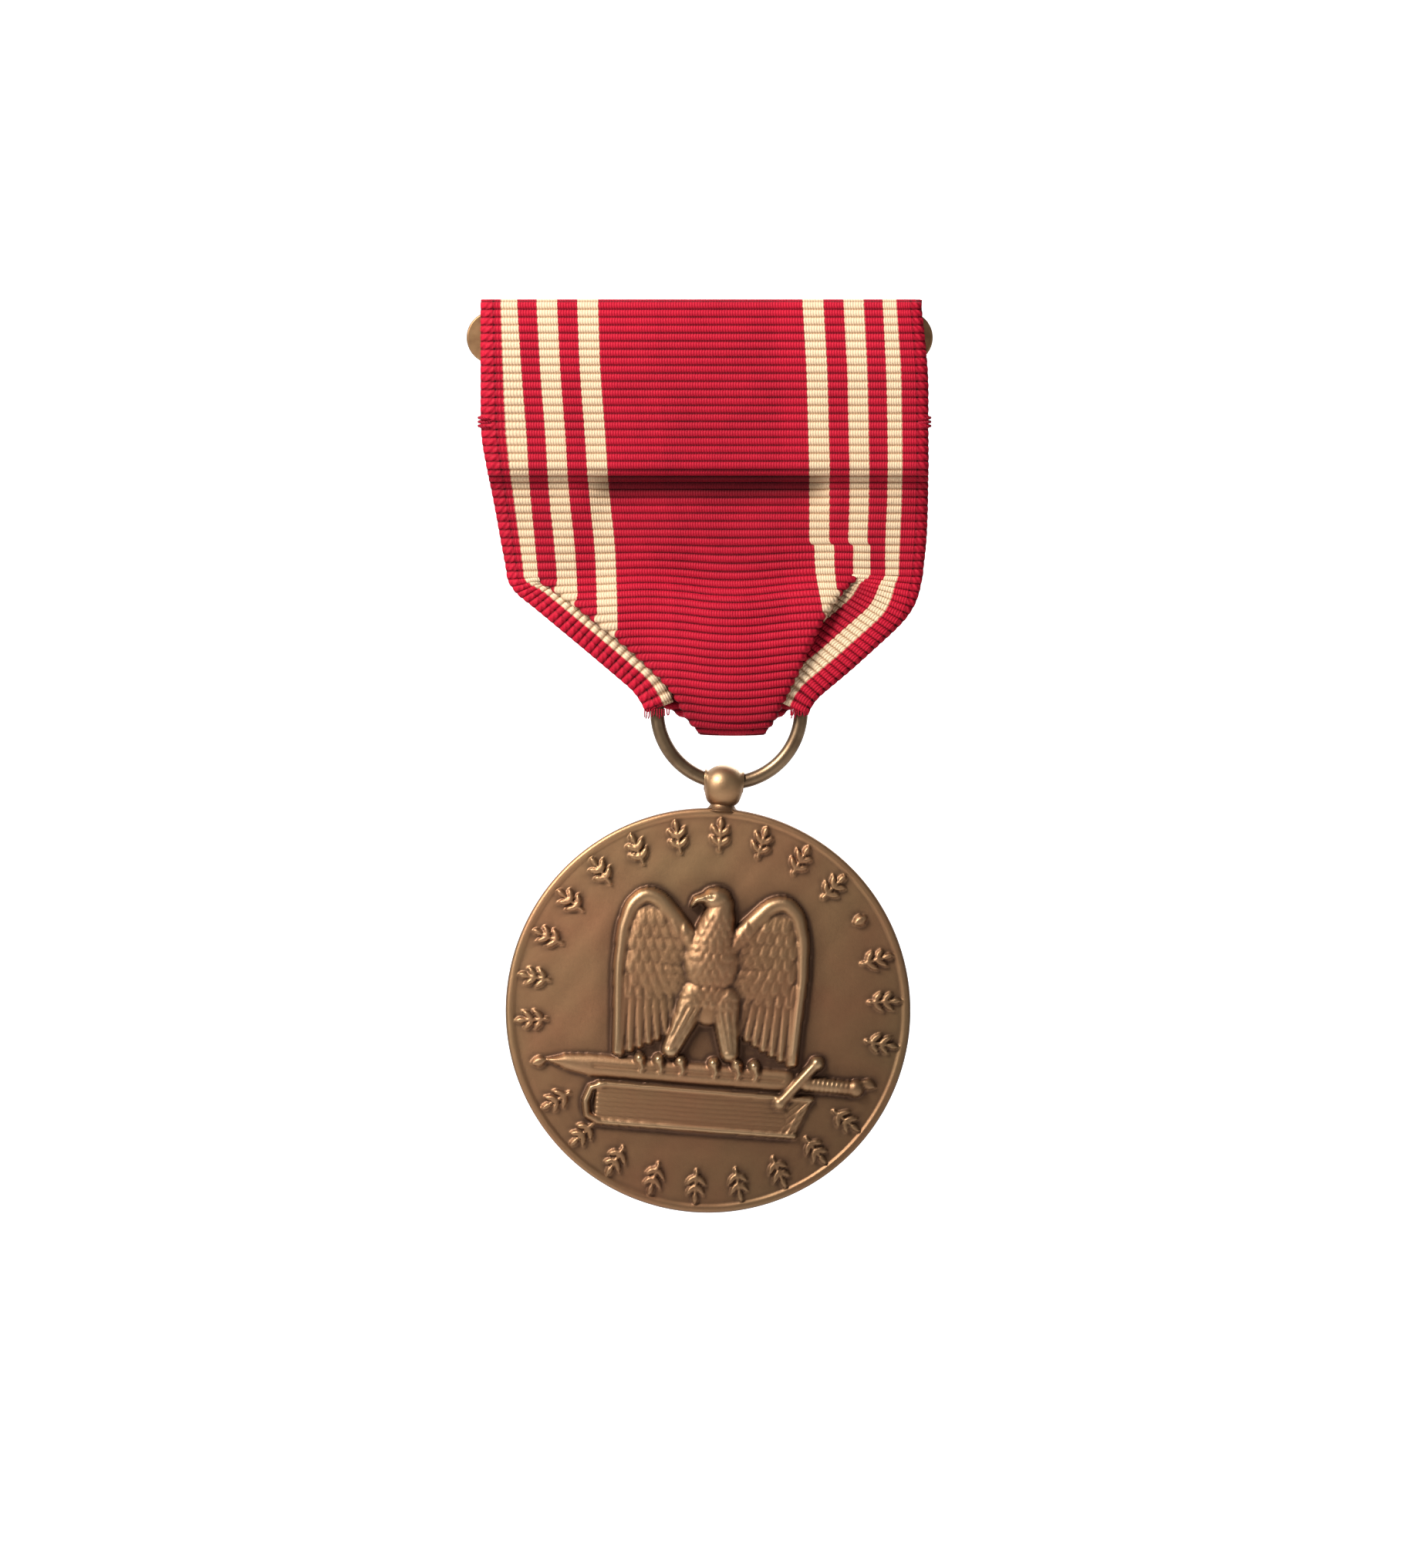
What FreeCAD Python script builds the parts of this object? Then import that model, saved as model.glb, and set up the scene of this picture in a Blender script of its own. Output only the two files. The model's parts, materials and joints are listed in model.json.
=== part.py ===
import FreeCAD, Part
import math
import os

# A campaign-style service medal: a bronze disc hangs by a drilled ball and a ring from a pleated
# ribbon, which is wrapped round a slotted brooch bar with a safety pin on its back.
# Millimetres. The origin is the middle of the closed pin, +Z is up and the medal faces -Y.

# Brooch bar
PLATE_THICKNESS = 0.7
PLATE_BACK_Y = -1.9
SLOT_Z = 1.6
SLOT_HEIGHT = 1.5
UPPER_BAR_HEIGHT = 1.75
LOWER_BAR_HEIGHT = 2.15
END_WALL = 1.2
EAR_RADIUS = 2.05
PLATE_EDGE_ROUND = 0.15

# Pin, its hinge and its catch
PIN_RADIUS = 0.4
PIN_TAPER_LEAD = 0.1
PIN_OVERHANG = 1.3
HINGE_X = -14.5
EYE_RADIUS = 1.05
EYE_SIDE_PLAY = 0.05
RIVET_RADIUS = 0.38
RIVET_PLAY = 0.04
RIVET_HEAD_RADIUS = 0.6
RIVET_HEAD_HEIGHT = 0.16
CHEEK_THICKNESS = 0.35
CHEEK_RADIUS = 0.9
HINGE_BASE_THICKNESS = 0.45
HINGE_BASE_LENGTH = 3.4
CATCH_X = 13.9
CATCH_LENGTH = 1.7
CATCH_WALL = 0.42
CATCH_MOUTH_PLAY = 0.2
PIN_CATCH_PLAY = 0.1
LOCK_WALL = 0.34
LOCK_PLAY = 0.05
LOCK_MOUTH_PLAY = 0.06
LOCK_FLANGE_THICKNESS = 0.45
LOCK_FLANGE_GAP = 0.08
LOCK_TAB_LENGTH = 1.5
LOCK_TAB_THICKNESS = 0.4

# Ribbon
RIBBON_WIDTH = 34.9
RIBBON_THICKNESS = 0.45
RIBBON_SHIFT_X = 0.3
RIBBON_SLOT_SQUEEZE = 0.7
RIBBON_TIGHTEN = 0.3
HEM_END_Z = -9.3
HEM_FOLD_HEIGHT = 6.1
STEP_DROP = 1.9
BACK_PANEL_GAP = 0.9
STITCH_Z = -5.1
STITCH_PITCH = 1.6
STITCH_LENGTH = 0.8
THREAD_RADIUS = 0.14
EDGE_STITCH_PITCH = 0.8
LEFT_WAIST_X = -14.8
LEFT_FOLD_Z = -17.8
RIGHT_WAIST_X = 17.4
RIGHT_FOLD_Z = -18.6
BILLOW_START_Z = -16.9
BILLOW_DROP = 2.5
TONGUE_DROP = 1.7
TONGUE_SIDE_PLAY = 0.4
TONGUE_CORNER = 0.7
STRIP_OVERHANG = 1.35
PLEAT_INSET = 3.0

# Suspension ring
RING_X = 2.3
RING_Z = -27.7
RING_MID_RADIUS = 5.65
RING_WIRE_RADIUS = 0.55
RING_PLAY = 0.35
FLEX_CLEARANCE = 0.3
FLEX_ABOVE_RING = 0.8

# Medal
DISC_RADIUS = 15.875
DISC_THICKNESS = 2.2
LIP_WIDTH = 0.35
FIELD_DEPTH = 0.12
BALL_RADIUS = 1.73
BALL_DROP = 0.31
BALL_FOOT_RADIUS = 1.15
BORE_PLAY = 0.06
MEDAL_LEAN_DEG = 4.0
EMBLEM_DRAWN_RADIUS = 15.875
EMBLEM_HEIGHT = 0.55
BORDER_INSET = 1.975
BORDER_HEIGHT = 0.25
SPRIG_COUNT = 23
PELLET_SLOTS = (4, 8, 18)
SPRIG_LENGTH = 2.5
SPRIG_WIDTH = 1.15
WREATH_INSET = 4.275
WREATH_LEAF_LENGTH = 3.0
WREATH_LEAF_WIDTH = 1.3
WREATH_LEAVES_PER_SIDE = 9

# Worked out from the sizes above
RIBBON_SLOT_LENGTH = RIBBON_WIDTH - RIBBON_SLOT_SQUEEZE
EAR_X = RIBBON_SLOT_LENGTH / 2 + END_WALL - EAR_RADIUS
PLATE_FRONT_Y = PLATE_BACK_Y - PLATE_THICKNESS
SLOT_TOP_Z = SLOT_Z + SLOT_HEIGHT / 2
SLOT_BOTTOM_Z = SLOT_Z - SLOT_HEIGHT / 2
PLATE_TOP_Z = SLOT_TOP_Z + UPPER_BAR_HEIGHT
PLATE_BOTTOM_Z = SLOT_BOTTOM_Z - LOWER_BAR_HEIGHT
EYE_THICKNESS = 2 * PIN_RADIUS
LOCK_INNER_RADIUS = PIN_RADIUS + PIN_CATCH_PLAY
LOCK_MOUTH = 2 * (PIN_RADIUS + LOCK_MOUTH_PLAY)
CATCH_MOUTH = 2 * (PIN_RADIUS + CATCH_MOUTH_PLAY)
LOCK_OUTER_RADIUS = LOCK_INNER_RADIUS + LOCK_WALL
CATCH_INNER_RADIUS = LOCK_OUTER_RADIUS + LOCK_PLAY
CATCH_OUTER_RADIUS = CATCH_INNER_RADIUS + CATCH_WALL
CATCH_START_X = CATCH_X - CATCH_LENGTH / 2
CATCH_END_X = CATCH_X + CATCH_LENGTH / 2
LOCK_END_X = CATCH_END_X + LOCK_FLANGE_GAP + LOCK_FLANGE_THICKNESS
PIN_TAPER_X = CATCH_START_X - PIN_TAPER_LEAD
PIN_TIP_X = LOCK_END_X + PIN_OVERHANG
CHEEK_INNER_Z = EYE_THICKNESS / 2 + EYE_SIDE_PLAY
CHEEK_OUTER_Z = CHEEK_INNER_Z + CHEEK_THICKNESS
TAIL_FRONT_Y = PLATE_FRONT_Y - RIBBON_THICKNESS
FRONT_FACE_Y = TAIL_FRONT_Y - RIBBON_THICKNESS
HEM_BACK_Y = PLATE_FRONT_Y + RIBBON_THICKNESS
RIBBON_MID_Y = HEM_BACK_Y
LAYER_INNER = RING_WIRE_RADIUS + RING_PLAY
LAYER_OUTER = LAYER_INNER + RIBBON_THICKNESS
RING_OUTER_RADIUS = RING_MID_RADIUS + RING_WIRE_RADIUS
RING_INNER_RADIUS = RING_MID_RADIUS - RING_WIRE_RADIUS
FLEX_Z = RING_Z + RING_OUTER_RADIUS + FLEX_ABOVE_RING
RIBBON_LEFT_X = RIBBON_SHIFT_X - RIBBON_WIDTH / 2
RIBBON_RIGHT_X = RIBBON_SHIFT_X + RIBBON_WIDTH / 2
TONGUE_HALF = RING_INNER_RADIUS - TONGUE_SIDE_PLAY
STRIP_LEFT_X = RING_X - RING_MID_RADIUS - STRIP_OVERHANG
STRIP_RIGHT_X = RING_X + RING_MID_RADIUS + STRIP_OVERHANG / 3
BALL_CENTRE_Z = RING_Z - RING_MID_RADIUS - BALL_DROP
WIRE_SAGITTA = RING_MID_RADIUS - math.sqrt(RING_MID_RADIUS**2 - BALL_RADIUS**2)
BORE_Z = RING_Z - RING_MID_RADIUS + WIRE_SAGITTA / 2
BORE_RADIUS = RING_WIRE_RADIUS + WIRE_SAGITTA / 2 + BORE_PLAY
DISC_Z = BALL_CENTRE_Z - BALL_RADIUS - DISC_RADIUS
DISC_FRONT_Y = RIBBON_MID_Y - DISC_THICKNESS / 2
DISC_BACK_Y = RIBBON_MID_Y + DISC_THICKNESS / 2
BORDER_RADIUS = DISC_RADIUS - BORDER_INSET
WREATH_RADIUS = DISC_RADIUS - WREATH_INSET
EMBLEM_SCALE = DISC_RADIUS / EMBLEM_DRAWN_RADIUS
FIELD_FRONT_Y = DISC_FRONT_Y + FIELD_DEPTH
FIELD_BACK_Y = DISC_BACK_Y - FIELD_DEPTH

RING_CENTRE = FreeCAD.Vector(RING_X, RIBBON_MID_Y, RING_Z)


def rounded_wire(corners, place):
    """Closed outline through (a, b) or (a, b, radius) corners, put in space by place(a, b)."""
    edges = []
    starts = []
    ends = []
    count = len(corners)
    for index, corner in enumerate(corners):
        here = FreeCAD.Vector(corner[0], corner[1], 0)
        radius = corner[2] if len(corner) > 2 else 0.0
        if radius == 0.0:
            starts.append(here)
            ends.append(here)
            edges.append(None)
            continue
        before = FreeCAD.Vector(corners[index - 1][0], corners[index - 1][1], 0)
        after = FreeCAD.Vector(corners[(index + 1) % count][0], corners[(index + 1) % count][1], 0)
        to_before = (before - here).normalize()
        to_after = (after - here).normalize()
        half = to_before.getAngle(to_after) / 2
        inward = (to_before + to_after).normalize()
        centre = here + inward * (radius / math.sin(half))
        starts.append(here + to_before * (radius / math.tan(half)))
        ends.append(here + to_after * (radius / math.tan(half)))
        edges.append(centre - inward * radius)
    made = []
    for index in range(count):
        if edges[index] is not None:
            arc = [starts[index], edges[index], ends[index]]
            made.append(Part.Arc(*[place(p.x, p.y) for p in arc]).toShape())
        leave = ends[index]
        arrive = starts[(index + 1) % count]
        if (arrive - leave).Length > 1e-6:
            made.append(Part.makeLine(place(leave.x, leave.y), place(arrive.x, arrive.y)))
    return Part.Wire(made)


def front_prism(corners, y_front, y_back):
    """Solid with an outline seen from the front, as (x, z) corners."""
    wire = rounded_wire(corners, lambda a, b: FreeCAD.Vector(a, y_front, b))
    return Part.Face(wire).extrude(FreeCAD.Vector(0, y_back - y_front, 0))


def side_prism(corners, x_left, x_right):
    """Solid with an outline seen from the side, as (y, z) corners."""
    wire = rounded_wire(corners, lambda a, b: FreeCAD.Vector(x_left, a, b))
    return Part.Face(wire).extrude(FreeCAD.Vector(x_right - x_left, 0, 0))


def top_prism(corners, z_low, z_high):
    """Solid with an outline seen from above, as (x, y) corners."""
    wire = rounded_wire(corners, lambda a, b: FreeCAD.Vector(a, b, z_low))
    return Part.Face(wire).extrude(FreeCAD.Vector(0, 0, z_high - z_low))


def box(x0, x1, y0, y1, z0, z1):
    return Part.makeBox(x1 - x0, y1 - y0, z1 - z0, FreeCAD.Vector(x0, y0, z0))


def rod(start, end, radius):
    """Round bar from one (x, y, z) point to another."""
    base = FreeCAD.Vector(*start)
    run = FreeCAD.Vector(*end) - base
    return Part.makeCylinder(radius, run.Length, base, run)


def tube_x(x0, x1, inner, outer):
    """Ring-shaped sleeve along the pin's axis."""
    return rod((x0, 0, 0), (x1, 0, 0), outer).cut(rod((x0 - 1, 0, 0), (x1 + 1, 0, 0), inner))


def joined(shapes):
    return shapes[0].multiFuse(shapes[1:]).removeSplitter()


def banded(outer, thickness):
    """Corners of a strip whose outer side follows (y, z) points and which is thickness deep in y."""
    inner = [(y + thickness, z) for y, z in reversed(outer)]
    return outer + inner


def brooch_frame():
    """Slotted bar with a round ear at each end."""
    bar = box(-EAR_X, EAR_X, PLATE_FRONT_Y, PLATE_BACK_Y, PLATE_BOTTOM_Z, PLATE_TOP_Z)
    ears = [
        rod((side * EAR_X, PLATE_FRONT_Y, SLOT_Z), (side * EAR_X, PLATE_BACK_Y, SLOT_Z), EAR_RADIUS)
        for side in (-1, 1)
    ]
    half_slot = RIBBON_SLOT_LENGTH / 2
    corner = SLOT_HEIGHT / 3
    slot = front_prism(
        [
            (-half_slot, SLOT_BOTTOM_Z, corner),
            (half_slot, SLOT_BOTTOM_Z, corner),
            (half_slot, SLOT_TOP_Z, corner),
            (-half_slot, SLOT_TOP_Z, corner),
        ],
        PLATE_FRONT_Y - 1,
        PLATE_BACK_Y + 1,
    )
    blank = joined([bar] + ears)
    rims = [
        edge
        for edge in blank.Edges
        if abs(edge.BoundBox.YMax - edge.BoundBox.YMin) < 1e-6
    ]
    return blank.makeFillet(PLATE_EDGE_ROUND, rims).cut(slot)


def pin_hinge_block():
    """Base on the lower bar with two cheeks that hold the pin's eye."""
    x0 = HINGE_X - HINGE_BASE_LENGTH / 2
    x1 = HINGE_X + HINGE_BASE_LENGTH / 2
    base_top = PLATE_BACK_Y + HINGE_BASE_THICKNESS
    base = box(x0, x1, PLATE_BACK_Y, base_top, -CHEEK_OUTER_Z, CHEEK_OUTER_Z)
    outline = [
        (HINGE_X - CHEEK_RADIUS, PLATE_BACK_Y),
        (HINGE_X + CHEEK_RADIUS, PLATE_BACK_Y),
        (HINGE_X + CHEEK_RADIUS, CHEEK_RADIUS, CHEEK_RADIUS * 0.8),
        (HINGE_X - CHEEK_RADIUS, CHEEK_RADIUS, CHEEK_RADIUS * 0.8),
    ]
    cheeks = [
        top_prism(outline, CHEEK_INNER_Z, CHEEK_OUTER_Z),
        top_prism(outline, -CHEEK_OUTER_Z, -CHEEK_INNER_Z),
    ]
    hole = rod((HINGE_X, 0, -CHEEK_OUTER_Z - 1), (HINGE_X, 0, CHEEK_OUTER_Z + 1), RIVET_RADIUS)
    return joined([base] + cheeks).cut(hole)


def pin_hinge_rivet():
    """Rivet through both cheeks, with a round head on each side."""
    reach = CHEEK_OUTER_Z + RIVET_HEAD_HEIGHT
    shank = rod((HINGE_X, 0, -reach), (HINGE_X, 0, reach), RIVET_RADIUS)
    heads = []
    for side in (-1, 1):
        foot = (HINGE_X, 0, side * CHEEK_OUTER_Z)
        head = rod(foot, (HINGE_X, 0, side * reach), RIVET_HEAD_RADIUS)
        outer = [edge for edge in head.Edges if abs(abs(edge.CenterOfMass.z) - reach) < 1e-6]
        heads.append(head.makeFillet(RIVET_HEAD_HEIGHT * 0.7, outer))
    return joined([shank] + heads)


def pin_stem():
    """Pointed wire with a flat eye at the hinge end."""
    eye = rod((HINGE_X, 0, -EYE_THICKNESS / 2), (HINGE_X, 0, EYE_THICKNESS / 2), EYE_RADIUS)
    stem = rod((HINGE_X, 0, 0), (PIN_TAPER_X, 0, 0), PIN_RADIUS)
    point = Part.makeCone(
        PIN_RADIUS,
        PIN_RADIUS * 0.12,
        PIN_TIP_X - PIN_TAPER_X,
        FreeCAD.Vector(PIN_TAPER_X, 0, 0),
        FreeCAD.Vector(1, 0, 0),
    )
    hole = rod((HINGE_X, 0, -EYE_THICKNESS), (HINGE_X, 0, EYE_THICKNESS), RIVET_RADIUS + RIVET_PLAY)
    return joined([eye, stem, point]).cut(hole)


def catch_housing():
    """Fixed C-shaped sleeve on a short foot, open towards the back."""
    x0 = CATCH_START_X
    x1 = CATCH_END_X
    sleeve = tube_x(x0, x1, CATCH_INNER_RADIUS, CATCH_OUTER_RADIUS)
    foot_half = CATCH_INNER_RADIUS * 0.85
    foot = box(x0, x1, PLATE_BACK_Y, -CATCH_INNER_RADIUS * 0.6, -foot_half, foot_half)
    foot = foot.cut(rod((x0 - 1, 0, 0), (x1 + 1, 0, 0), CATCH_INNER_RADIUS))
    mouth = box(x0 - 1, x1 + 1, 0, CATCH_OUTER_RADIUS * 2, -CATCH_MOUTH / 2, CATCH_MOUTH / 2)
    return joined([sleeve, foot]).cut(mouth)


def catch_lock():
    """Turning sleeve inside the housing, with a flange and a thumb tab at its outer end."""
    x0 = CATCH_START_X
    sleeve = tube_x(x0, LOCK_END_X, LOCK_INNER_RADIUS, LOCK_OUTER_RADIUS)
    flange_x = LOCK_END_X - LOCK_FLANGE_THICKNESS
    flange = tube_x(flange_x, LOCK_END_X, LOCK_INNER_RADIUS, CATCH_OUTER_RADIUS)
    reach = CATCH_OUTER_RADIUS + LOCK_TAB_LENGTH
    tab = side_prism(
        [
            (-LOCK_TAB_THICKNESS / 2, -LOCK_OUTER_RADIUS),
            (-LOCK_TAB_THICKNESS / 2, -reach, LOCK_TAB_THICKNESS * 0.45),
            (LOCK_TAB_THICKNESS / 2, -reach, LOCK_TAB_THICKNESS * 0.45),
            (LOCK_TAB_THICKNESS / 2, -LOCK_OUTER_RADIUS),
        ],
        flange_x,
        LOCK_END_X,
    )
    mouth = box(x0 - 1, LOCK_END_X + 1, 0, CATCH_OUTER_RADIUS * 2, -LOCK_MOUTH / 2, LOCK_MOUTH / 2)
    return joined([sleeve, flange, tab]).cut(mouth)


def ribbon_outline():
    """Front view of the hanging ribbon, from the bar down to the ring."""
    tongue_left = RING_X - TONGUE_HALF
    tongue_right = RING_X + TONGUE_HALF
    bottom = RING_Z - TONGUE_DROP
    strip_end = RING_Z - TONGUE_DROP * 0.1
    return [
        (RIBBON_LEFT_X, PLATE_TOP_Z + 2),
        (RIBBON_LEFT_X, STITCH_Z),
        (LEFT_WAIST_X, LEFT_FOLD_Z, 2.0),
        (STRIP_LEFT_X, RING_Z + 0.5),
        (STRIP_LEFT_X, strip_end),
        (tongue_left, strip_end),
        (tongue_left + TONGUE_HALF * 0.42, bottom, TONGUE_CORNER),
        (tongue_right - TONGUE_HALF * 0.36, bottom, TONGUE_CORNER),
        (tongue_right, strip_end),
        (STRIP_RIGHT_X, strip_end),
        (RIGHT_WAIST_X, RIGHT_FOLD_Z, 3.0),
        (RIBBON_RIGHT_X, STITCH_Z),
        (RIBBON_RIGHT_X, PLATE_TOP_Z + 2),
    ]


def ribbon_window():
    """Everything in front view that lies inside the ribbon's outline."""
    return front_prism(ribbon_outline(), FRONT_FACE_Y - 2, PLATE_BACK_Y + 3)


def flex_room():
    """Space that the lower end of the ribbon turns in."""
    radius = LAYER_OUTER + FLEX_CLEARANCE
    return rod((-RIBBON_WIDTH, RIBBON_MID_Y, FLEX_Z), (RIBBON_WIDTH, RIBBON_MID_Y, FLEX_Z), radius)


def ribbon_front():
    """Front layer: over the bar, back at the hem's end, then out round the ring."""
    outer = [
        (FRONT_FACE_Y, PLATE_TOP_Z),
        (FRONT_FACE_Y, HEM_END_Z),
        (RIBBON_MID_Y - RIBBON_THICKNESS, HEM_END_Z - STEP_DROP),
        (RIBBON_MID_Y - RIBBON_THICKNESS, BILLOW_START_Z),
        (RIBBON_MID_Y - LAYER_OUTER, BILLOW_START_Z - BILLOW_DROP),
        (RIBBON_MID_Y - LAYER_OUTER, FLEX_Z),
    ]
    sheet = side_prism(banded(outer, RIBBON_THICKNESS), -RIBBON_WIDTH, RIBBON_WIDTH)
    return sheet.common(ribbon_window()).cut(flex_room())


def ribbon_back():
    """Back layer, from just under the bar down to the ring."""
    outer = [
        (RIBBON_MID_Y, PLATE_BOTTOM_Z - BACK_PANEL_GAP),
        (RIBBON_MID_Y, BILLOW_START_Z),
        (RIBBON_MID_Y + LAYER_INNER, BILLOW_START_Z - BILLOW_DROP),
        (RIBBON_MID_Y + LAYER_INNER, FLEX_Z),
    ]
    sheet = side_prism(banded(outer, RIBBON_THICKNESS), -RIBBON_WIDTH, RIBBON_WIDTH)
    return sheet.common(ribbon_window()).cut(flex_room())


def ribbon_tail():
    """Top of the ribbon: over the upper bar, forward through the slot, and down to a folded hem."""
    half = RIBBON_SLOT_LENGTH / 2 - RIBBON_TIGHTEN
    back = PLATE_BACK_Y + RIBBON_THICKNESS
    top = PLATE_TOP_Z + RIBBON_THICKNESS
    pass_low = SLOT_Z - RIBBON_THICKNESS / 2
    pass_high = SLOT_Z + RIBBON_THICKNESS / 2
    fold_top = HEM_END_Z + HEM_FOLD_HEIGHT
    bend = RIBBON_THICKNESS * 0.9
    profile = [
        (FRONT_FACE_Y, PLATE_TOP_Z),
        (FRONT_FACE_Y, top, bend),
        (back, top, bend),
        (back, pass_low, bend),
        (PLATE_FRONT_Y, pass_low),
        (PLATE_FRONT_Y, fold_top),
        (HEM_BACK_Y, fold_top),
        (HEM_BACK_Y, HEM_END_Z, bend),
        (TAIL_FRONT_Y, HEM_END_Z, bend),
        (TAIL_FRONT_Y, pass_high, bend),
        (PLATE_BACK_Y, pass_high),
        (PLATE_BACK_Y, PLATE_TOP_Z),
    ]
    return side_prism(profile, -half, half).common(ribbon_window())


def ribbon_tip():
    """Lower end of the ribbon: folded under through the ring, with room between for its wire."""
    bottom = RING_Z - TONGUE_DROP
    top = FLEX_Z + LAYER_OUTER
    outer = LAYER_OUTER
    inner = LAYER_INNER
    profile = [
        (RIBBON_MID_Y - outer, top),
        (RIBBON_MID_Y - outer, bottom, outer * 0.95),
        (RIBBON_MID_Y + outer, bottom, outer * 0.95),
        (RIBBON_MID_Y + outer, top),
        (RIBBON_MID_Y + inner, top),
        (RIBBON_MID_Y + inner, bottom + RIBBON_THICKNESS, inner * 0.95),
        (RIBBON_MID_Y - inner, bottom + RIBBON_THICKNESS, inner * 0.95),
        (RIBBON_MID_Y - inner, top),
    ]
    wide = RIBBON_WIDTH
    loop = side_prism(profile, -wide, wide).common(ribbon_window())
    below = box(-wide, wide, RIBBON_MID_Y - wide, RIBBON_MID_Y + wide, bottom - 1, FLEX_Z)
    knuckle = rod((-wide, RIBBON_MID_Y, FLEX_Z), (wide, RIBBON_MID_Y, FLEX_Z), outer)
    return loop.common(joined([below, knuckle]))


def ribbon_pleat(side):
    """Folded-in edge of the ribbon beside the ring, between the front and back layers."""
    low_z = RING_Z + PLEAT_INSET / 2
    high_z = FLEX_Z - FLEX_CLEARANCE
    reach = RING_X + side * RING_MID_RADIUS
    x0 = min(reach, side * RIBBON_WIDTH)
    x1 = max(reach, side * RIBBON_WIDTH)
    slab = box(x0, x1, RIBBON_MID_Y - LAYER_INNER, RIBBON_MID_Y + LAYER_INNER, low_z, high_z)
    room = rod(
        (RING_X, RIBBON_MID_Y - 5, RING_Z),
        (RING_X, RIBBON_MID_Y + 5, RING_Z),
        RING_OUTER_RADIUS + RING_PLAY,
    )
    return ribbon_window().common(slab).cut(room)


def stitch(x, y):
    """One short run of thread lying on the ribbon."""
    left = FreeCAD.Vector(x - STITCH_LENGTH / 2, y, STITCH_Z)
    right = FreeCAD.Vector(x + STITCH_LENGTH / 2, y, STITCH_Z)
    ends = [Part.makeSphere(THREAD_RADIUS, left), Part.makeSphere(THREAD_RADIUS, right)]
    return joined([rod(tuple(left), tuple(right), THREAD_RADIUS)] + ends)


def edge_stitch(edge_x, side, z):
    """Thread that wraps the edge of all the layers."""
    inset = STITCH_LENGTH
    front = FRONT_FACE_Y
    back = RIBBON_MID_Y + RIBBON_THICKNESS
    wide = 2 * THREAD_RADIUS
    outline = [
        (edge_x - side * inset, front - wide),
        (edge_x + side * wide, front - wide, wide * 0.9),
        (edge_x + side * wide, back + wide, wide * 0.9),
        (edge_x - side * inset, back + wide),
        (edge_x - side * inset, back),
        (edge_x, back),
        (edge_x, front),
        (edge_x - side * inset, front),
    ]
    return top_prism(outline, z - THREAD_RADIUS, z + THREAD_RADIUS)


def ribbon_stitches():
    """Row of thread across the ribbon under the bar, and wraps at both edges."""
    front_y = FRONT_FACE_Y - THREAD_RADIUS
    back_y = RIBBON_MID_Y + RIBBON_THICKNESS + THREAD_RADIUS
    count = int((RIBBON_WIDTH - 4) / STITCH_PITCH)
    first = RIBBON_SHIFT_X - (count - 1) * STITCH_PITCH / 2
    threads = []
    for index in range(count):
        x = first + index * STITCH_PITCH
        threads.append(stitch(x, front_y))
        threads.append(stitch(x + STITCH_PITCH / 2, back_y))
    for step in (-0.5, 0.5):
        z = STITCH_Z + 2 * THREAD_RADIUS + step * EDGE_STITCH_PITCH
        threads.append(edge_stitch(RIBBON_LEFT_X, -1, z))
        threads.append(edge_stitch(RIBBON_RIGHT_X, 1, z))
    return Part.makeCompound(threads)


def suspension_ring():
    return Part.makeTorus(RING_MID_RADIUS, RING_WIRE_RADIUS, RING_CENTRE, FreeCAD.Vector(0, 1, 0))


def disc_blank():
    """Disc with a narrow raised lip round the field on both faces."""
    centre = FreeCAD.Vector(RING_X, DISC_FRONT_Y, DISC_Z)
    blank = Part.makeCylinder(DISC_RADIUS, DISC_THICKNESS, centre, FreeCAD.Vector(0, 1, 0))
    rims = [edge for edge in blank.Edges if abs(edge.BoundBox.YMax - edge.BoundBox.YMin) < 1e-6]
    blank = blank.makeFillet(LIP_WIDTH * 0.4, rims)
    field = DISC_RADIUS - LIP_WIDTH
    front = rod((RING_X, DISC_FRONT_Y - 1, DISC_Z), (RING_X, FIELD_FRONT_Y, DISC_Z), field)
    back = rod((RING_X, FIELD_BACK_Y, DISC_Z), (RING_X, DISC_BACK_Y + 1, DISC_Z), field)
    return blank.cut(front).cut(back)


def raised(corners, height, on_back=False):
    """Piece standing on the field; corners count from the disc's centre."""
    placed = [(RING_X + corner[0], DISC_Z + corner[1]) + tuple(corner[2:]) for corner in corners]
    root = FIELD_DEPTH * 2
    if on_back:
        return front_prism(placed, FIELD_BACK_Y - root, FIELD_BACK_Y + height)
    return front_prism(placed, FIELD_FRONT_Y - height, FIELD_FRONT_Y + root)


def leaf(x, z, angle_deg, length, width):
    """Corners of a pointed leaf, its stem end and tip along angle_deg."""
    along = FreeCAD.Vector(math.cos(math.radians(angle_deg)), math.sin(math.radians(angle_deg)), 0)
    across = FreeCAD.Vector(-along.y, along.x, 0)
    centre = FreeCAD.Vector(x, z, 0)
    corners = []
    for lengthwise, sideways, softness in ((-0.5, 0, 0), (0, 0.5, 0.9), (0.5, 0, 0), (0, -0.5, 0.9)):
        point = centre + along * (lengthwise * length) + across * (sideways * width)
        corners.append((point.x, point.y, softness * width) if softness else (point.x, point.y))
    return corners


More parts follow.
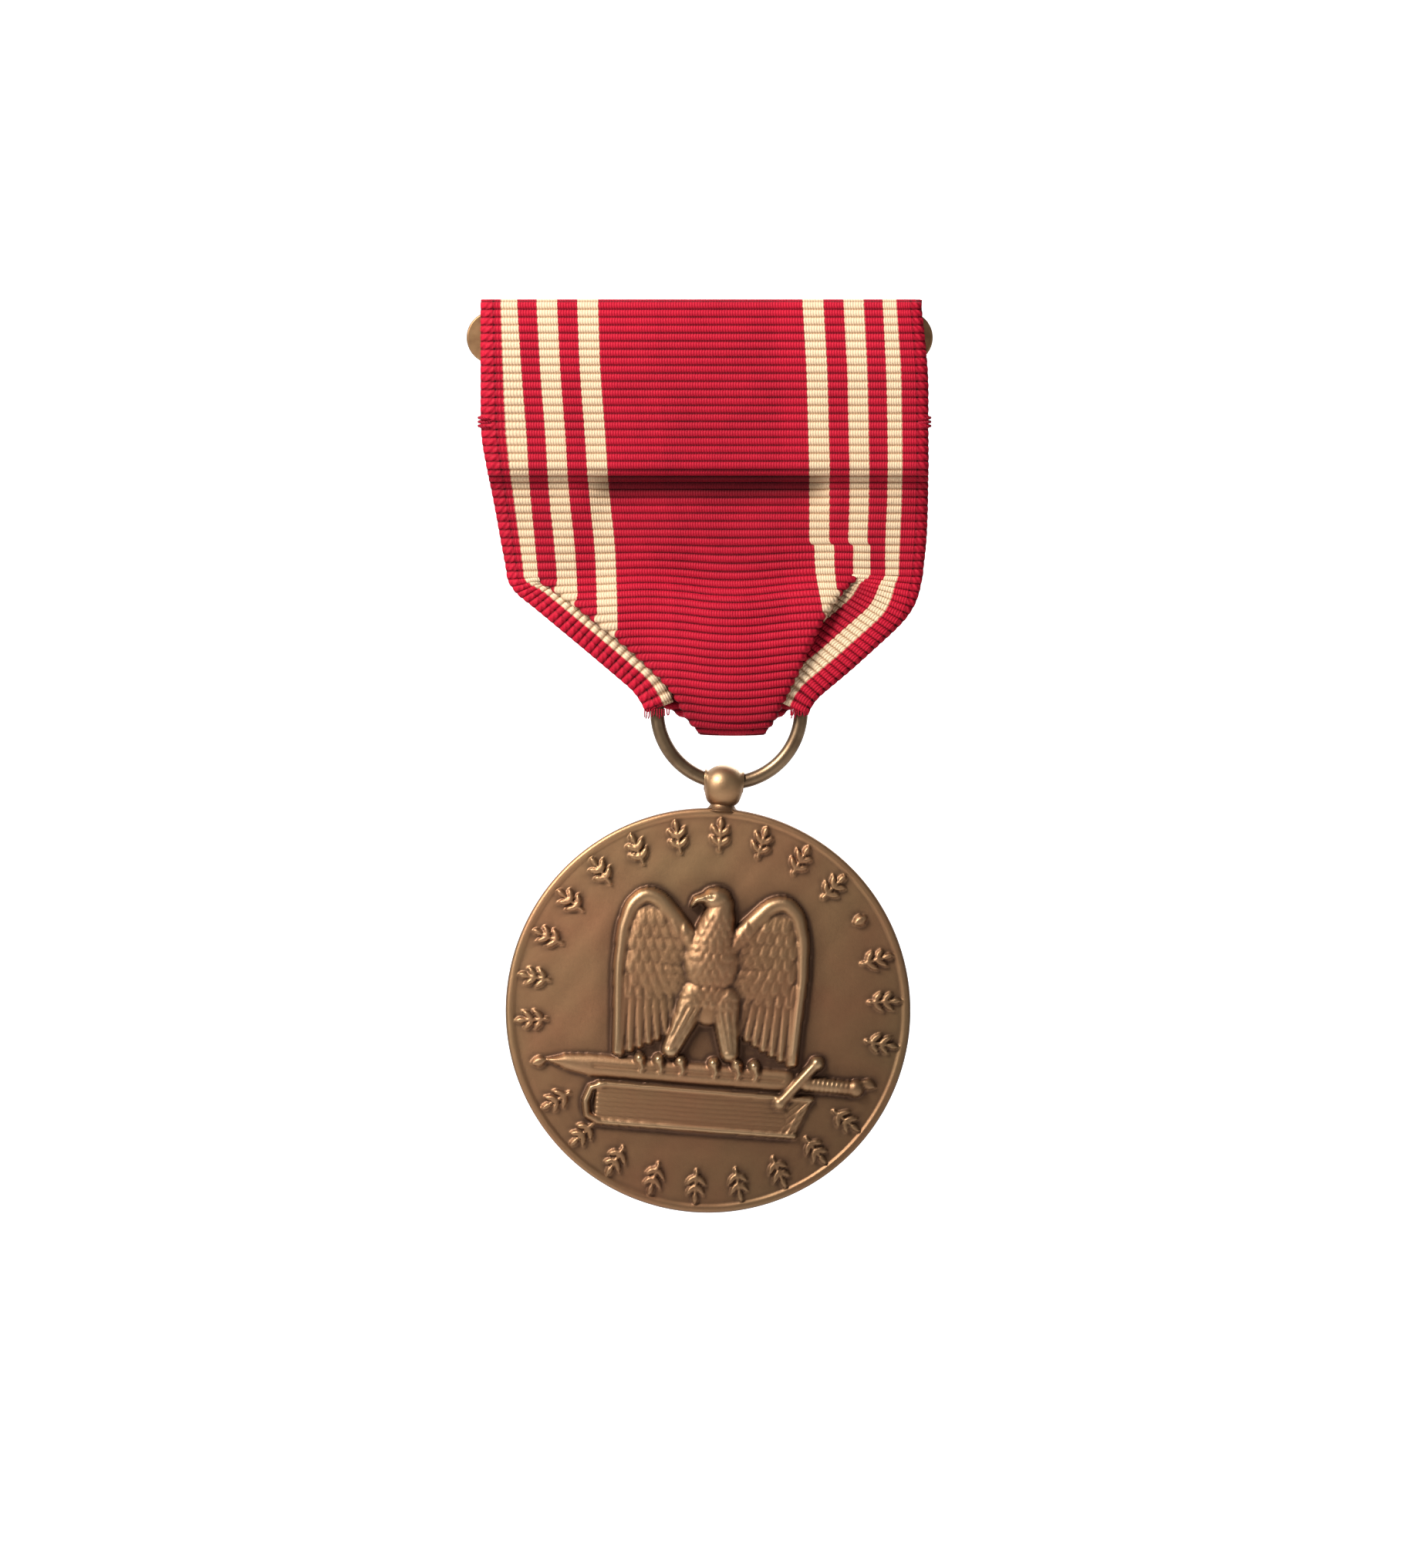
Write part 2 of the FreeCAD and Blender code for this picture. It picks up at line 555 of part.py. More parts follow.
def ring_of_sprigs():
    """Border of small leaves, parted by three pellets."""
    shapes = []
    slots = SPRIG_COUNT + len(PELLET_SLOTS)
    for index in range(slots):
        angle = 90 - index * 360 / slots
        x = BORDER_RADIUS * math.cos(math.radians(angle))
        z = BORDER_RADIUS * math.sin(math.radians(angle))
        if index in PELLET_SLOTS:
            shapes.append(raised(leaf(x, z, angle, 1.1, 0.8), BORDER_HEIGHT))
        else:
            shapes.append(raised(leaf(x, z, angle + 25, SPRIG_LENGTH, SPRIG_WIDTH), BORDER_HEIGHT))
    return shapes


def to_size(corners):
    """Corners drawn for the usual disc, at this disc's size."""
    return [tuple(value * EMBLEM_SCALE for value in corner) for corner in corners]


def mirrored(corners):
    """The same outline on the other side of the centre line."""
    return [(-corner[0],) + tuple(corner[1:]) for corner in reversed(corners)]


def bird_and_book():
    """Spread-winged bird standing on a sword that lies on a closed book."""
    wing = [
        (-1.6, 6.2),
        (-3.2, 7.6, 0.6),
        (-4.4, 8.9, 0.6),
        (-5.9, 9.0, 1.0),
        (-7.2, 7.6, 1.6),
        (-7.3, 2.6, 4.0),
        (-6.9, -3.9, 0.3),
        (-5.6, -3.9, 0.3),
        (-3.4, -2.4, 0.8),
        (-1.6, 0.6, 1.0),
    ]
    body = [
        (-2.2, 6.4, 0.8),
        (-1.2, 8.4, 0.8),
        (-0.9, 9.5, 0.6),
        (1.4, 9.4, 0.8),
        (1.6, 6.6, 1.5),
        (2.4, 5.4, 1.2),
        (1.9, 0.4, 2.0),
        (0.0, -1.6, 0.8),
        (-2.0, 0.4, 2.0),
    ]
    beak = [(-1.9, 8.1), (-0.8, 9.3), (-0.4, 8.2)]
    leg = [(-2.2, 1.4), (-3.6, -3.6, 0.3), (-1.9, -4.0, 0.3), (-0.2, 0.2)]
    blade = [(-12.2, -4.8), (-8.4, -4.0, 2.0), (6.4, -4.2), (6.4, -5.9), (-8.8, -5.9, 2.0)]
    guard = [(5.9, -6.9, 0.3), (6.7, -6.9, 0.3), (9.0, -3.6, 0.3), (8.2, -3.2, 0.3)]
    grip = [(7.4, -4.6, 0.2), (11.6, -4.7, 0.3), (11.6, -5.9, 0.3), (7.0, -5.9, 0.2)]
    book = [(-8.4, -6.0, 0.8), (8.4, -6.2), (7.5, -9.4, 0.2), (-8.0, -9.4, 0.8)]
    shares_of_height = (
        (wing, 0.7),
        (mirrored(wing), 0.7),
        (body, 1.0),
        (beak, 1.0),
        (leg, 0.85),
        (mirrored(leg), 0.85),
        (blade, 0.5),
        (guard, 0.8),
        (grip, 0.6),
        (book, 0.4),
    )
    return [raised(to_size(corners), EMBLEM_HEIGHT * share) for corners, share in shares_of_height]


def reverse_design():
    """Five-pointed star over a blank scroll, between two branches of leaves."""
    star = []
    for index in range(10):
        radius = 6.4 if index % 2 == 0 else 2.6
        angle = math.radians(90 + 36 * index)
        star.append((radius * math.cos(angle), 2.4 + radius * math.sin(angle)))
    scroll = [(-6.6, -5.0, 0.5), (-6.6, -7.4, 0.5), (6.6, -7.4, 0.5), (6.6, -5.0, 0.5)]
    shapes = [
        raised(to_size(star), EMBLEM_HEIGHT * 0.7, True),
        raised(to_size(scroll), EMBLEM_HEIGHT * 0.5, True),
    ]
    for side in (-1, 1):
        for index in range(WREATH_LEAVES_PER_SIDE):
            angle = 270 + side * (14 + index * 15)
            x = WREATH_RADIUS * math.cos(math.radians(angle))
            z = WREATH_RADIUS * math.sin(math.radians(angle))
            outline = leaf(x, z, angle + side * 70, WREATH_LEAF_LENGTH, WREATH_LEAF_WIDTH)
            shapes.append(raised(outline, EMBLEM_HEIGHT * 0.5, True))
    return shapes


def leaned(shape):
    """Turns a piece of the medal about the ring's centre, the way it slides along the ring."""
    turned = shape.copy()
    turned.rotate(RING_CENTRE, FreeCAD.Vector(0, 1, 0), MEDAL_LEAN_DEG)
    return turned


def medal_disc():
    return leaned(joined([disc_blank()] + ring_of_sprigs() + bird_and_book() + reverse_design()))


def suspension_ball():
    """Drilled ball brazed to the disc's rim on a flared foot."""
    centre = FreeCAD.Vector(RING_X, RIBBON_MID_Y, BALL_CENTRE_Z)
    ball = Part.makeSphere(BALL_RADIUS, centre)
    rim_z = DISC_Z + DISC_RADIUS
    foot = Part.makeCone(
        BALL_FOOT_RADIUS,
        BALL_RADIUS * 0.6,
        BALL_RADIUS * 0.5,
        FreeCAD.Vector(RING_X, RIBBON_MID_Y, rim_z - BALL_RADIUS * 0.15),
        FreeCAD.Vector(0, 0, 1),
    )
    bore = rod(
        (RING_X - 2 * BALL_RADIUS, RIBBON_MID_Y, BORE_Z),
        (RING_X + 2 * BALL_RADIUS, RIBBON_MID_Y, BORE_Z),
        BORE_RADIUS,
    )
    seat = Part.makeCylinder(
        DISC_RADIUS,
        4 * DISC_THICKNESS,
        FreeCAD.Vector(RING_X, RIBBON_MID_Y - 2 * DISC_THICKNESS, DISC_Z),
        FreeCAD.Vector(0, 1, 0),
    )
    return leaned(joined([ball, foot]).cut(bore).cut(seat))


PIECES = {
    "brooch_frame": brooch_frame,
    "pin_hinge_block": pin_hinge_block,
    "pin_hinge_rivet": pin_hinge_rivet,
    "pin_stem": pin_stem,
    "catch_housing": catch_housing,
    "catch_lock": catch_lock,
    "ribbon_front": ribbon_front,
    "ribbon_tail": ribbon_tail,
    "ribbon_back": ribbon_back,
    "ribbon_tip": ribbon_tip,
    "ribbon_pleat_left": lambda: ribbon_pleat(-1),
    "ribbon_pleat_right": lambda: ribbon_pleat(1),
    "ribbon_stitches": ribbon_stitches,
    "suspension_ring": suspension_ring,
    "suspension_ball": suspension_ball,
    "medal_disc": medal_disc,
}


def main():
    os.makedirs("parts", exist_ok=True)
    for name, make in PIECES.items():
        shape = make()
        if not shape.isValid():
            raise RuntimeError(name + " is not a valid shape")
        shape.exportStep("parts/" + name + ".step")
        print(name, "solids", len(shape.Solids), "volume", round(shape.Volume, 2))


main()
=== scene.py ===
"""Looks of a bronze service medal on a pleated, corded ribbon, built round its CAD frame."""

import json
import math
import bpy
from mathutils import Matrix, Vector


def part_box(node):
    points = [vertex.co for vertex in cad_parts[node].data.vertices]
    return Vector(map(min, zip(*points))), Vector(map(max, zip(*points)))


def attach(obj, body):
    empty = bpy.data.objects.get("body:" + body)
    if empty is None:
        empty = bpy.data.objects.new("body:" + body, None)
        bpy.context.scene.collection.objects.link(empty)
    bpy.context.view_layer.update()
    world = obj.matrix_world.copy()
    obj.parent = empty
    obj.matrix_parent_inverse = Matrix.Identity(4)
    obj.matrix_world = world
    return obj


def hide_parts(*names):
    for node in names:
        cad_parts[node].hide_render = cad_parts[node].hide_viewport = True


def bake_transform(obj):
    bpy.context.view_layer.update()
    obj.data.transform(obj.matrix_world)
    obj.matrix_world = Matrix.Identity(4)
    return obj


bl_info = {
    "name": "Service Medal",
    "version": (1, 0, 0),
    "blender": (4, 5, 0),
    "location": "3D View > Sidebar > Medal",
    "description": "Builds the ribbon, ring, ball, struck disc and finishes of a service medal",
    "category": "Object",
}

import bmesh
import bpy
import numpy as np
from mathutils import Matrix, Vector

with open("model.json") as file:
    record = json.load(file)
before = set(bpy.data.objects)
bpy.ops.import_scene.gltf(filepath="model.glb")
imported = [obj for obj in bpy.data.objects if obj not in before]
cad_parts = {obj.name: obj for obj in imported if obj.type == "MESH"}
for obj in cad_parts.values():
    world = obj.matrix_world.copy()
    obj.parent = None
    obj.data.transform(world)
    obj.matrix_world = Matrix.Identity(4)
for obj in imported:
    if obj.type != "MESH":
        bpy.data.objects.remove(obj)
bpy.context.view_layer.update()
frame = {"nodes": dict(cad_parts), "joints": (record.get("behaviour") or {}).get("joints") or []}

MM = 0.001
JOINTS = {joint["name"]: joint for joint in frame["joints"]}


def box_mm(node):
    """Lowest and highest corner of a CAD node, in millimetres."""
    low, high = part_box(node)
    return low / MM, high / MM


RING_LOW, RING_HIGH = box_mm("suspension_ring")
RING_CENTRE = (RING_LOW + RING_HIGH) / 2
WIRE_RADIUS = (RING_HIGH.y - RING_LOW.y) / 2
RING_RADIUS = (RING_HIGH.x - RING_LOW.x) / 2 - WIRE_RADIUS
DISC_LOW, DISC_HIGH = box_mm("medal_disc")
DISC_RADIUS = (DISC_HIGH.x - DISC_LOW.x) / 2
BORE_AXIS = Vector(JOINTS["medal_swing"]["axis"])
BORE_POINT = Vector(JOINTS["medal_swing"]["pos_m"]) / MM
LEAN = math.atan2(-BORE_AXIS.z, BORE_AXIS.x)
DISC_DROP = (RING_CENTRE - (DISC_LOW + DISC_HIGH) / 2).xz.length
BORE_DROP = (RING_CENTRE - BORE_POINT).xz.length
DRAPE_LOW = box_mm("ribbon_front")[0]
BACK_HIGH = box_mm("ribbon_back")[1]
TIP_LOW = box_mm("ribbon_tip")[0]
STITCH_LOW, STITCH_HIGH = box_mm("ribbon_stitches")

RIBBON_WIDTH = 34.9
RIBBON_LEFT = DRAPE_LOW.x
EDGE_SWELL = 0.16

FRONT_CELLS = 256
BACK_CELLS = 160
DISC_CROWN = 0.55
LIP_WIDTH = 0.75
RIM_ROUND = 0.28
TURN = 2 * math.pi

SENSOR_WIDTH = 36.0
FRAME_WIDTH = 0.11064
FRAME_CENTRE_X = 0.00018
FRAME_CENTRE_Z = -0.03345


# ---------------------------------------------------------------- settings


class RibbonSettings(bpy.types.PropertyGroup):
    thickness: bpy.props.FloatProperty(
        name="Thickness",
        description="Thickness of the ribbon cloth",
        default=0.00028,
        unit="LENGTH",
    )
    rib_pitch: bpy.props.FloatProperty(
        name="Rib pitch",
        description="Distance from one cord of the weave to the next",
        default=0.00063,
        unit="LENGTH",
    )
    rib_height: bpy.props.FloatProperty(
        name="Rib height",
        description="How far the cords of the weave stand out",
        default=0.00009,
        unit="LENGTH",
    )
    crimson: bpy.props.FloatVectorProperty(
        name="Crimson",
        description="Colour of the ribbon's ground",
        default=(0.37, 0.0062, 0.022),
        subtype="COLOR",
    )
    cream: bpy.props.FloatVectorProperty(
        name="Cream",
        description="Colour of the ribbon's six stripes",
        default=(0.72, 0.53, 0.345),
        subtype="COLOR",
    )


class MedalSettings(bpy.types.PropertyGroup):
    thickness: bpy.props.FloatProperty(
        name="Disc thickness",
        description="Thickness of the disc at its lip",
        default=0.0022,
        unit="LENGTH",
    )
    relief: bpy.props.FloatProperty(
        name="Relief",
        description="Height of the struck design, as a share of its drawn height",
        default=1.15,
        subtype="FACTOR",
    )
    patina: bpy.props.FloatVectorProperty(
        name="Patina",
        description="Colour of the toned bronze in the field",
        default=(0.270, 0.158, 0.077),
        subtype="COLOR",
    )
    worn: bpy.props.FloatVectorProperty(
        name="Worn bronze",
        description="Colour of the rubbed high points",
        default=(0.39, 0.255, 0.14),
        subtype="COLOR",
    )
    brass: bpy.props.FloatVectorProperty(
        name="Brooch metal",
        description="Colour of the brooch bar, pin and ring",
        default=(0.42, 0.245, 0.12),
        subtype="COLOR",
    )


class StageSettings(bpy.types.PropertyGroup):
    floor_gap: bpy.props.FloatProperty(
        name="Floor gap",
        description="Height that the medal hangs above the floor",
        default=0.23,
        unit="LENGTH",
    )
    key_power: bpy.props.FloatProperty(
        name="Key power",
        description="Power of the soft light at the upper left",
        default=3.2,
        unit="POWER",
    )
    surround: bpy.props.FloatProperty(
        name="Surround",
        description="Brightness of the white room round the medal",
        default=0.12,
        min=0.0,
    )
    camera_distance: bpy.props.FloatProperty(
        name="Camera distance",
        description="Distance of the camera in front of the medal",
        default=0.6,
        unit="LENGTH",
    )


# ---------------------------------------------------------------- shader maths


class Value:
    """A shader number that takes part in plain arithmetic."""

    def __init__(self, finish, socket):
        self.finish = finish
        self.socket = socket

    def math(self, operation, *others, clamp=False):
        settings = {"operation": operation, "use_clamp": clamp}
        return Value(self.finish, self.finish.node("ShaderNodeMath", settings, [self, *others]).outputs[0])

    def __add__(self, other):
        return self.math("ADD", other)

    def __mul__(self, other):
        return self.math("MULTIPLY", other)

    def __sub__(self, other):
        return self.math("SUBTRACT", other)

    def __truediv__(self, other):
        return self.math("DIVIDE", other)

    def __radd__(self, other):
        return self + other

    def __rmul__(self, other):
        return self * other

    def __rsub__(self, other):
        return (self * -1.0) + other

    def clamped(self):
        return self.math("ADD", 0.0, clamp=True)

    def sine(self):
        return self.math("SINE")

    def cosine(self):
        return self.math("COSINE")

    def at_most(self, other):
        return self.math("MINIMUM", other)

    def above(self, edge, softness):
        """0 below the edge and 1 above it, with a ramp as wide as softness."""
        return ((self - (edge - softness / 2)) / softness).clamped()


class Finish:
    """A material under construction."""

    def __init__(self, name):
        self.material = bpy.data.materials.new(name)
        self.material.use_nodes = True
        self.tree = self.material.node_tree
        self.shader = self.tree.nodes["Principled BSDF"]

    def node(self, kind, settings=None, values=()):
        """Adds a node; values are for its sockets, by order or by name."""
        made = self.tree.nodes.new(kind)
        for name, setting in (settings or {}).items():
            if name == "stops":
                self.set_stops(made, setting)
            else:
                setattr(made, name, setting)
        pairs = values.items() if isinstance(values, dict) else enumerate(values)
        for key, value in pairs:
            self.feed(made.inputs[key], value)
        return made

    def set_stops(self, ramp_node, stops):
        elements = ramp_node.color_ramp.elements
        while len(elements) < len(stops):
            elements.new(1.0)
        for element, (place, colour) in zip(elements, stops):
            element.position = place
            element.color = (*colour, 1.0)

    def feed(self, socket, value):
        if isinstance(value, Value):
            self.tree.links.new(value.socket, socket)
        elif isinstance(value, bpy.types.NodeSocket):
            self.tree.links.new(value, socket)
        else:
            socket.default_value = value

    def value(self, kind, output, settings=None, values=()):
        return Value(self, self.node(kind, settings, values).outputs[output])

    def coordinates(self):
        """Object coordinates in millimetres."""
        place = self.node("ShaderNodeTexCoord").outputs["Object"]
        settings = {"operation": "SCALE"}
        return self.node("ShaderNodeVectorMath", settings, {"Vector": place, "Scale": 1 / MM}).outputs[0]

    def attribute(self, name):
        """The three numbers of a piece's own attribute."""
        vector = self.node("ShaderNodeAttribute", {"attribute_name": name}).outputs["Vector"]
        parts = self.node("ShaderNodeSeparateXYZ", values=[vector]).outputs
        return [Value(self, part) for part in parts], vector

    def noise(self, place, scale, detail=2.0, roughness=0.5):
        values = {"Vector": place, "Scale": scale, "Detail": detail, "Roughness": roughness}
        return self.value("ShaderNodeTexNoise", "Fac", values=values)

    def mixed(self, factor, first, second):
        """Colour between two colours."""
        made = self.node("ShaderNodeMix", {"data_type": "RGBA"})
        self.feed(made.inputs[0], factor)
        self.feed(made.inputs[6], rgba(first))
        self.feed(made.inputs[7], rgba(second))
        return made.outputs[2]

    def shaded(self, colour, factor):
        """Colour darkened or lightened by a grey factor."""
        grey = self.node("ShaderNodeCombineXYZ", values=[factor, factor, factor]).outputs[0]
        return self.node("ShaderNodeVectorMath", {"operation": "MULTIPLY"}, [colour, grey]).outputs[0]

    def bumped(self, height, strength, distance):
        values = {"Height": height, "Strength": strength, "Distance": distance}
        self.feed(self.shader.inputs["Normal"], self.node("ShaderNodeBump", values=values).outputs[0])

    def constants(self, **values):
        for name, value in values.items():
            self.shader.inputs[name.replace("_", " ")].default_value = value


def rgba(colour):
    """A plain colour gets an alpha; a link is left alone."""
    if isinstance(colour, (tuple, list, bpy.types.bpy_prop_array)) or hasattr(colour, "r"):
        return (colour[0], colour[1], colour[2], 1.0)
    return colour


# ---------------------------------------------------------------- finishes


def stripe_edges():
    """Distances of the cream stripes from the ribbon's left edge, in millimetres."""
    shift = -0.38
    widths = [1.88, 1.24, 1.52, 1.59, 1.59, 1.62]
    edges = np.cumsum(widths)
    left = [(edges[0], edges[1]), (edges[2], edges[3]), (edges[4], edges[5])]
    right = [(RIBBON_WIDTH - b, RIBBON_WIDTH - a) for a, b in reversed(left)]
    return [(a + shift, b + shift) for a, b in left + right]


def ribbon_finish(settings):
    """Corded weave with woven stripes, read from the cloth's own lengthwise and crosswise places, with
    painted shade in the grooves between the cords and in the folds and creases.
    """
    finish = Finish("corded_ribbon")
    # The cloth attribute's third value is painted shade: in the folds and creases, under the bar's step, down
    # the front and towards the bottom.
    (across, along, painted_shade), place = finish.attribute("cloth")
    pitch = settings.rib_pitch / MM
    yarn_wander = (finish.noise(place, 9.0, 1.0) - 0.5) * 0.12
    rib = (along * (TURN / pitch)).cosine()
    edge = across + yarn_wander + rib * 0.015
    cream = None
    for start, end in stripe_edges():
        inside = edge.above(start, 0.08) * (1.0 - edge.above(end, 0.08))
        cream = inside if cream is None else cream + inside
    cream = cream.clamped()
    # Painted shade: the grooves between the cords are darkened in the ground and in the stripes.
    painted_groove_shade = (1.0 - rib.above(-0.25, 1.3)) * 1.0
    warp = (across * (TURN / 0.21) + rib * 0.9).cosine()
    mottling = finish.noise(place, 0.35, 3.0) - 0.5
    fibre = finish.noise(place, 14.0, 2.0) - 0.5
    from_edge = across.at_most(RIBBON_WIDTH - across)
    selvedge = 1.0 - from_edge.above(0.95, 0.25)
    seam = from_edge.above(0.86, 0.12) * (1.0 - from_edge.above(1.04, 0.12))
    middle = across.above(13.6, 0.4) * (1.0 - across.above(22.9, 0.4))
    tone = 1.14 - painted_groove_shade * 0.80 + warp * 0.06 + mottling * 0.35 + fibre * 0.40 - middle * 0.07 - seam * 0.35
    stripe_tone = 1.08 - painted_groove_shade * 0.42 + warp * 0.05 + mottling * 0.14 + fibre * 0.18
    light_crimson = tuple(channel * 1.2 for channel in settings.crimson)
    # Darker cream, shown only where painted shade lies in grooves and creases.
    painted_shade_cream = tuple(channel * share for channel, share in zip(settings.cream, (0.86, 0.64, 0.50)))
    ground = finish.shaded(finish.mixed(fibre + 0.5, settings.crimson, light_crimson), tone)
    stripe = finish.shaded(finish.mixed(painted_groove_shade * 0.7 + painted_shade * 0.5, settings.cream, painted_shade_cream), stripe_tone)
    # The whole cloth is darkened further by the painted shade.
    colour = finish.shaded(finish.mixed(cream, ground, stripe), 1.0 - painted_shade * (0.72 - cream * 0.17))
    finish.feed(finish.shader.inputs["Base Color"], colour)
    chain = ((along + from_edge * 0.8) * (TURN / 0.42)).sine()
    weave = warp * (1.0 - selvedge) * 0.5 + chain * selvedge * 0.9 + fibre * 0.9
    finish.bumped(weave, 0.55, 0.00006)
    finish.feed(finish.shader.inputs["Roughness"], 0.62 + painted_groove_shade * 0.18)
    finish.constants(Specular_IOR_Level=0.12)
    return finish.material


def bronze_finish(settings):
    """Toned bronze: dark in the recesses, rubbed bright on the relief, and painted lighter towards the upper
    left and darker towards the lower right.
    """
    finish = Finish("struck_bronze")
    place = finish.coordinates()
    (wear, recess, _), _ = finish.attribute("relief")
    cloud = finish.noise(place, 0.12, 3.0, 0.55)
    grain = finish.noise(place, 2.4, 3.0, 0.6)
    speck = finish.noise(place, 7.0, 2.0, 0.6)
    parts = [Value(finish, part) for part in finish.node("ShaderNodeSeparateXYZ", values=[place]).outputs]
    # Painted light: the bronze is lightened towards the upper left and darkened towards the lower right, by
    # place alone.
    painted_light_slant = 1.0 + (parts[2] - parts[0] * 0.8 + 54.6) * 0.018
    shade = (0.84 + cloud * 0.26 + (grain - 0.5) * 0.12) * painted_light_slant
    red_patina = (0.270, 0.130, 0.066)
    grime = (0.060, 0.030, 0.020)
    field = finish.shaded(finish.mixed(cloud.above(0.5, 0.35), settings.patina, red_patina), shade)
    dark = finish.mixed((recess * 0.85).clamped(), field, grime)
    rubbed = (wear * (0.75 + grain * 0.5)).clamped()
    colour = finish.mixed(rubbed, dark, settings.worn)
    finish.feed(finish.shader.inputs["Base Color"], colour)
    finish.feed(finish.shader.inputs["Roughness"], 0.43 + speck * 0.12 - rubbed * 0.10)
    finish.bumped(grain * 0.5 + speck * 0.8, 0.35, 0.00003)
    finish.constants(Metallic=0.9, Specular_IOR_Level=0.5)
    return finish.material


def brass_finish(name, colour, tarnish, roughness):
    """Rolled or drawn bronze with fine scratches and tarnish."""
    finish = Finish(name)
    place = finish.coordinates()
    cloud = finish.noise(place, 0.45, 3.0, 0.6)
    fine = finish.noise(place, 5.0, 2.0, 0.6)
    stretched = finish.node("ShaderNodeMapping", values={"Vector": place, "Scale": (0.3, 6.0, 6.0)})
    draw_marks = finish.noise(stretched.outputs[0], 1.6, 3.0, 0.7)
    aged = (cloud.above(0.52, 0.3) * tarnish + fine * 0.10).clamped()
    dark = tuple(channel * share for channel, share in zip(colour, (0.36, 0.30, 0.28)))
    finish.feed(finish.shader.inputs["Base Color"], finish.mixed(aged, colour, dark))
    finish.feed(finish.shader.inputs["Roughness"], roughness + cloud * 0.14 + fine * 0.06)
    finish.bumped(draw_marks * 0.7 + fine * 0.4, 0.25, 0.00002)
    finish.constants(Metallic=0.95)
    return finish.material


def thread_finish(settings):
    """Twisted sewing thread in the ribbon's ground colour."""
    finish = Finish("sewing_thread")
    place = finish.coordinates()
    parts = [Value(finish, part) for part in finish.node("ShaderNodeSeparateXYZ", values=[place]).outputs]
    twist = ((parts[0] + parts[2] * 0.7) * (TURN / 0.22)).sine()
    fibre = finish.noise(place, 20.0, 1.0)
    tone = 0.78 + twist * 0.14 + fibre * 0.25
    dusty_red = (0.28, 0.012, 0.03)
    colour = finish.shaded(finish.mixed(fibre, tuple(settings.crimson), dusty_red), tone)
    finish.feed(finish.shader.inputs["Base Color"], colour)
    finish.bumped(twist * 0.7 + fibre * 0.3, 0.6, 0.00005)
    finish.constants(Roughness=0.8, Specular_IOR_Level=0.12)
    return finish.material


# ---------------------------------------------------------------- mesh helpers


def finished_piece(name, bm, material):
    """Turns a mesh in millimetres into an object in metres at the origin."""
    bm.normal_update()
    mesh = bpy.data.meshes.new(name)
    bm.to_mesh(mesh)
    bm.free()
    mesh.transform(Matrix.Scale(MM, 4))
    for polygon in mesh.polygons:
        polygon.use_smooth = True
    mesh.materials.append(material)
    piece = bpy.data.objects.new(name, mesh)
    bpy.context.scene.collection.objects.link(piece)
    return piece


def grid_patch(bm, columns, rows, place, layer):
    """Adds a sheet of quads; place(c, r) gives points, and the layer's values, from shares 0 to 1."""
    made = bmesh.ops.create_grid(bm, x_segments=columns, y_segments=rows, size=1.0)["verts"]
    shares = np.array([vert.co[:2] for vert in made]) / 2 + 0.5
    points, values = place(shares[:, 0], shares[:, 1])
    for vert, point, value in zip(made, points, values):
        vert.co = point
        vert[layer] = value


def smoothstep(low, high, value):
    share = np.clip((value - low) / (high - low), 0.0, 1.0)
    return share * share * (3 - 2 * share)


def paint(node, material):
    """Gives a CAD node its material."""
    obj = frame["nodes"][node]
    obj.data.materials.clear()
    obj.data.materials.append(material)


def lean_matrix():
    """Turns upright medal pieces to where the medal hangs on the ring."""
    there = Matrix.Translation(RING_CENTRE)
    return there @ Matrix.Rotation(LEAN, 4, "Y") @ there.inverted()


# ---------------------------------------------------------------- struck relief


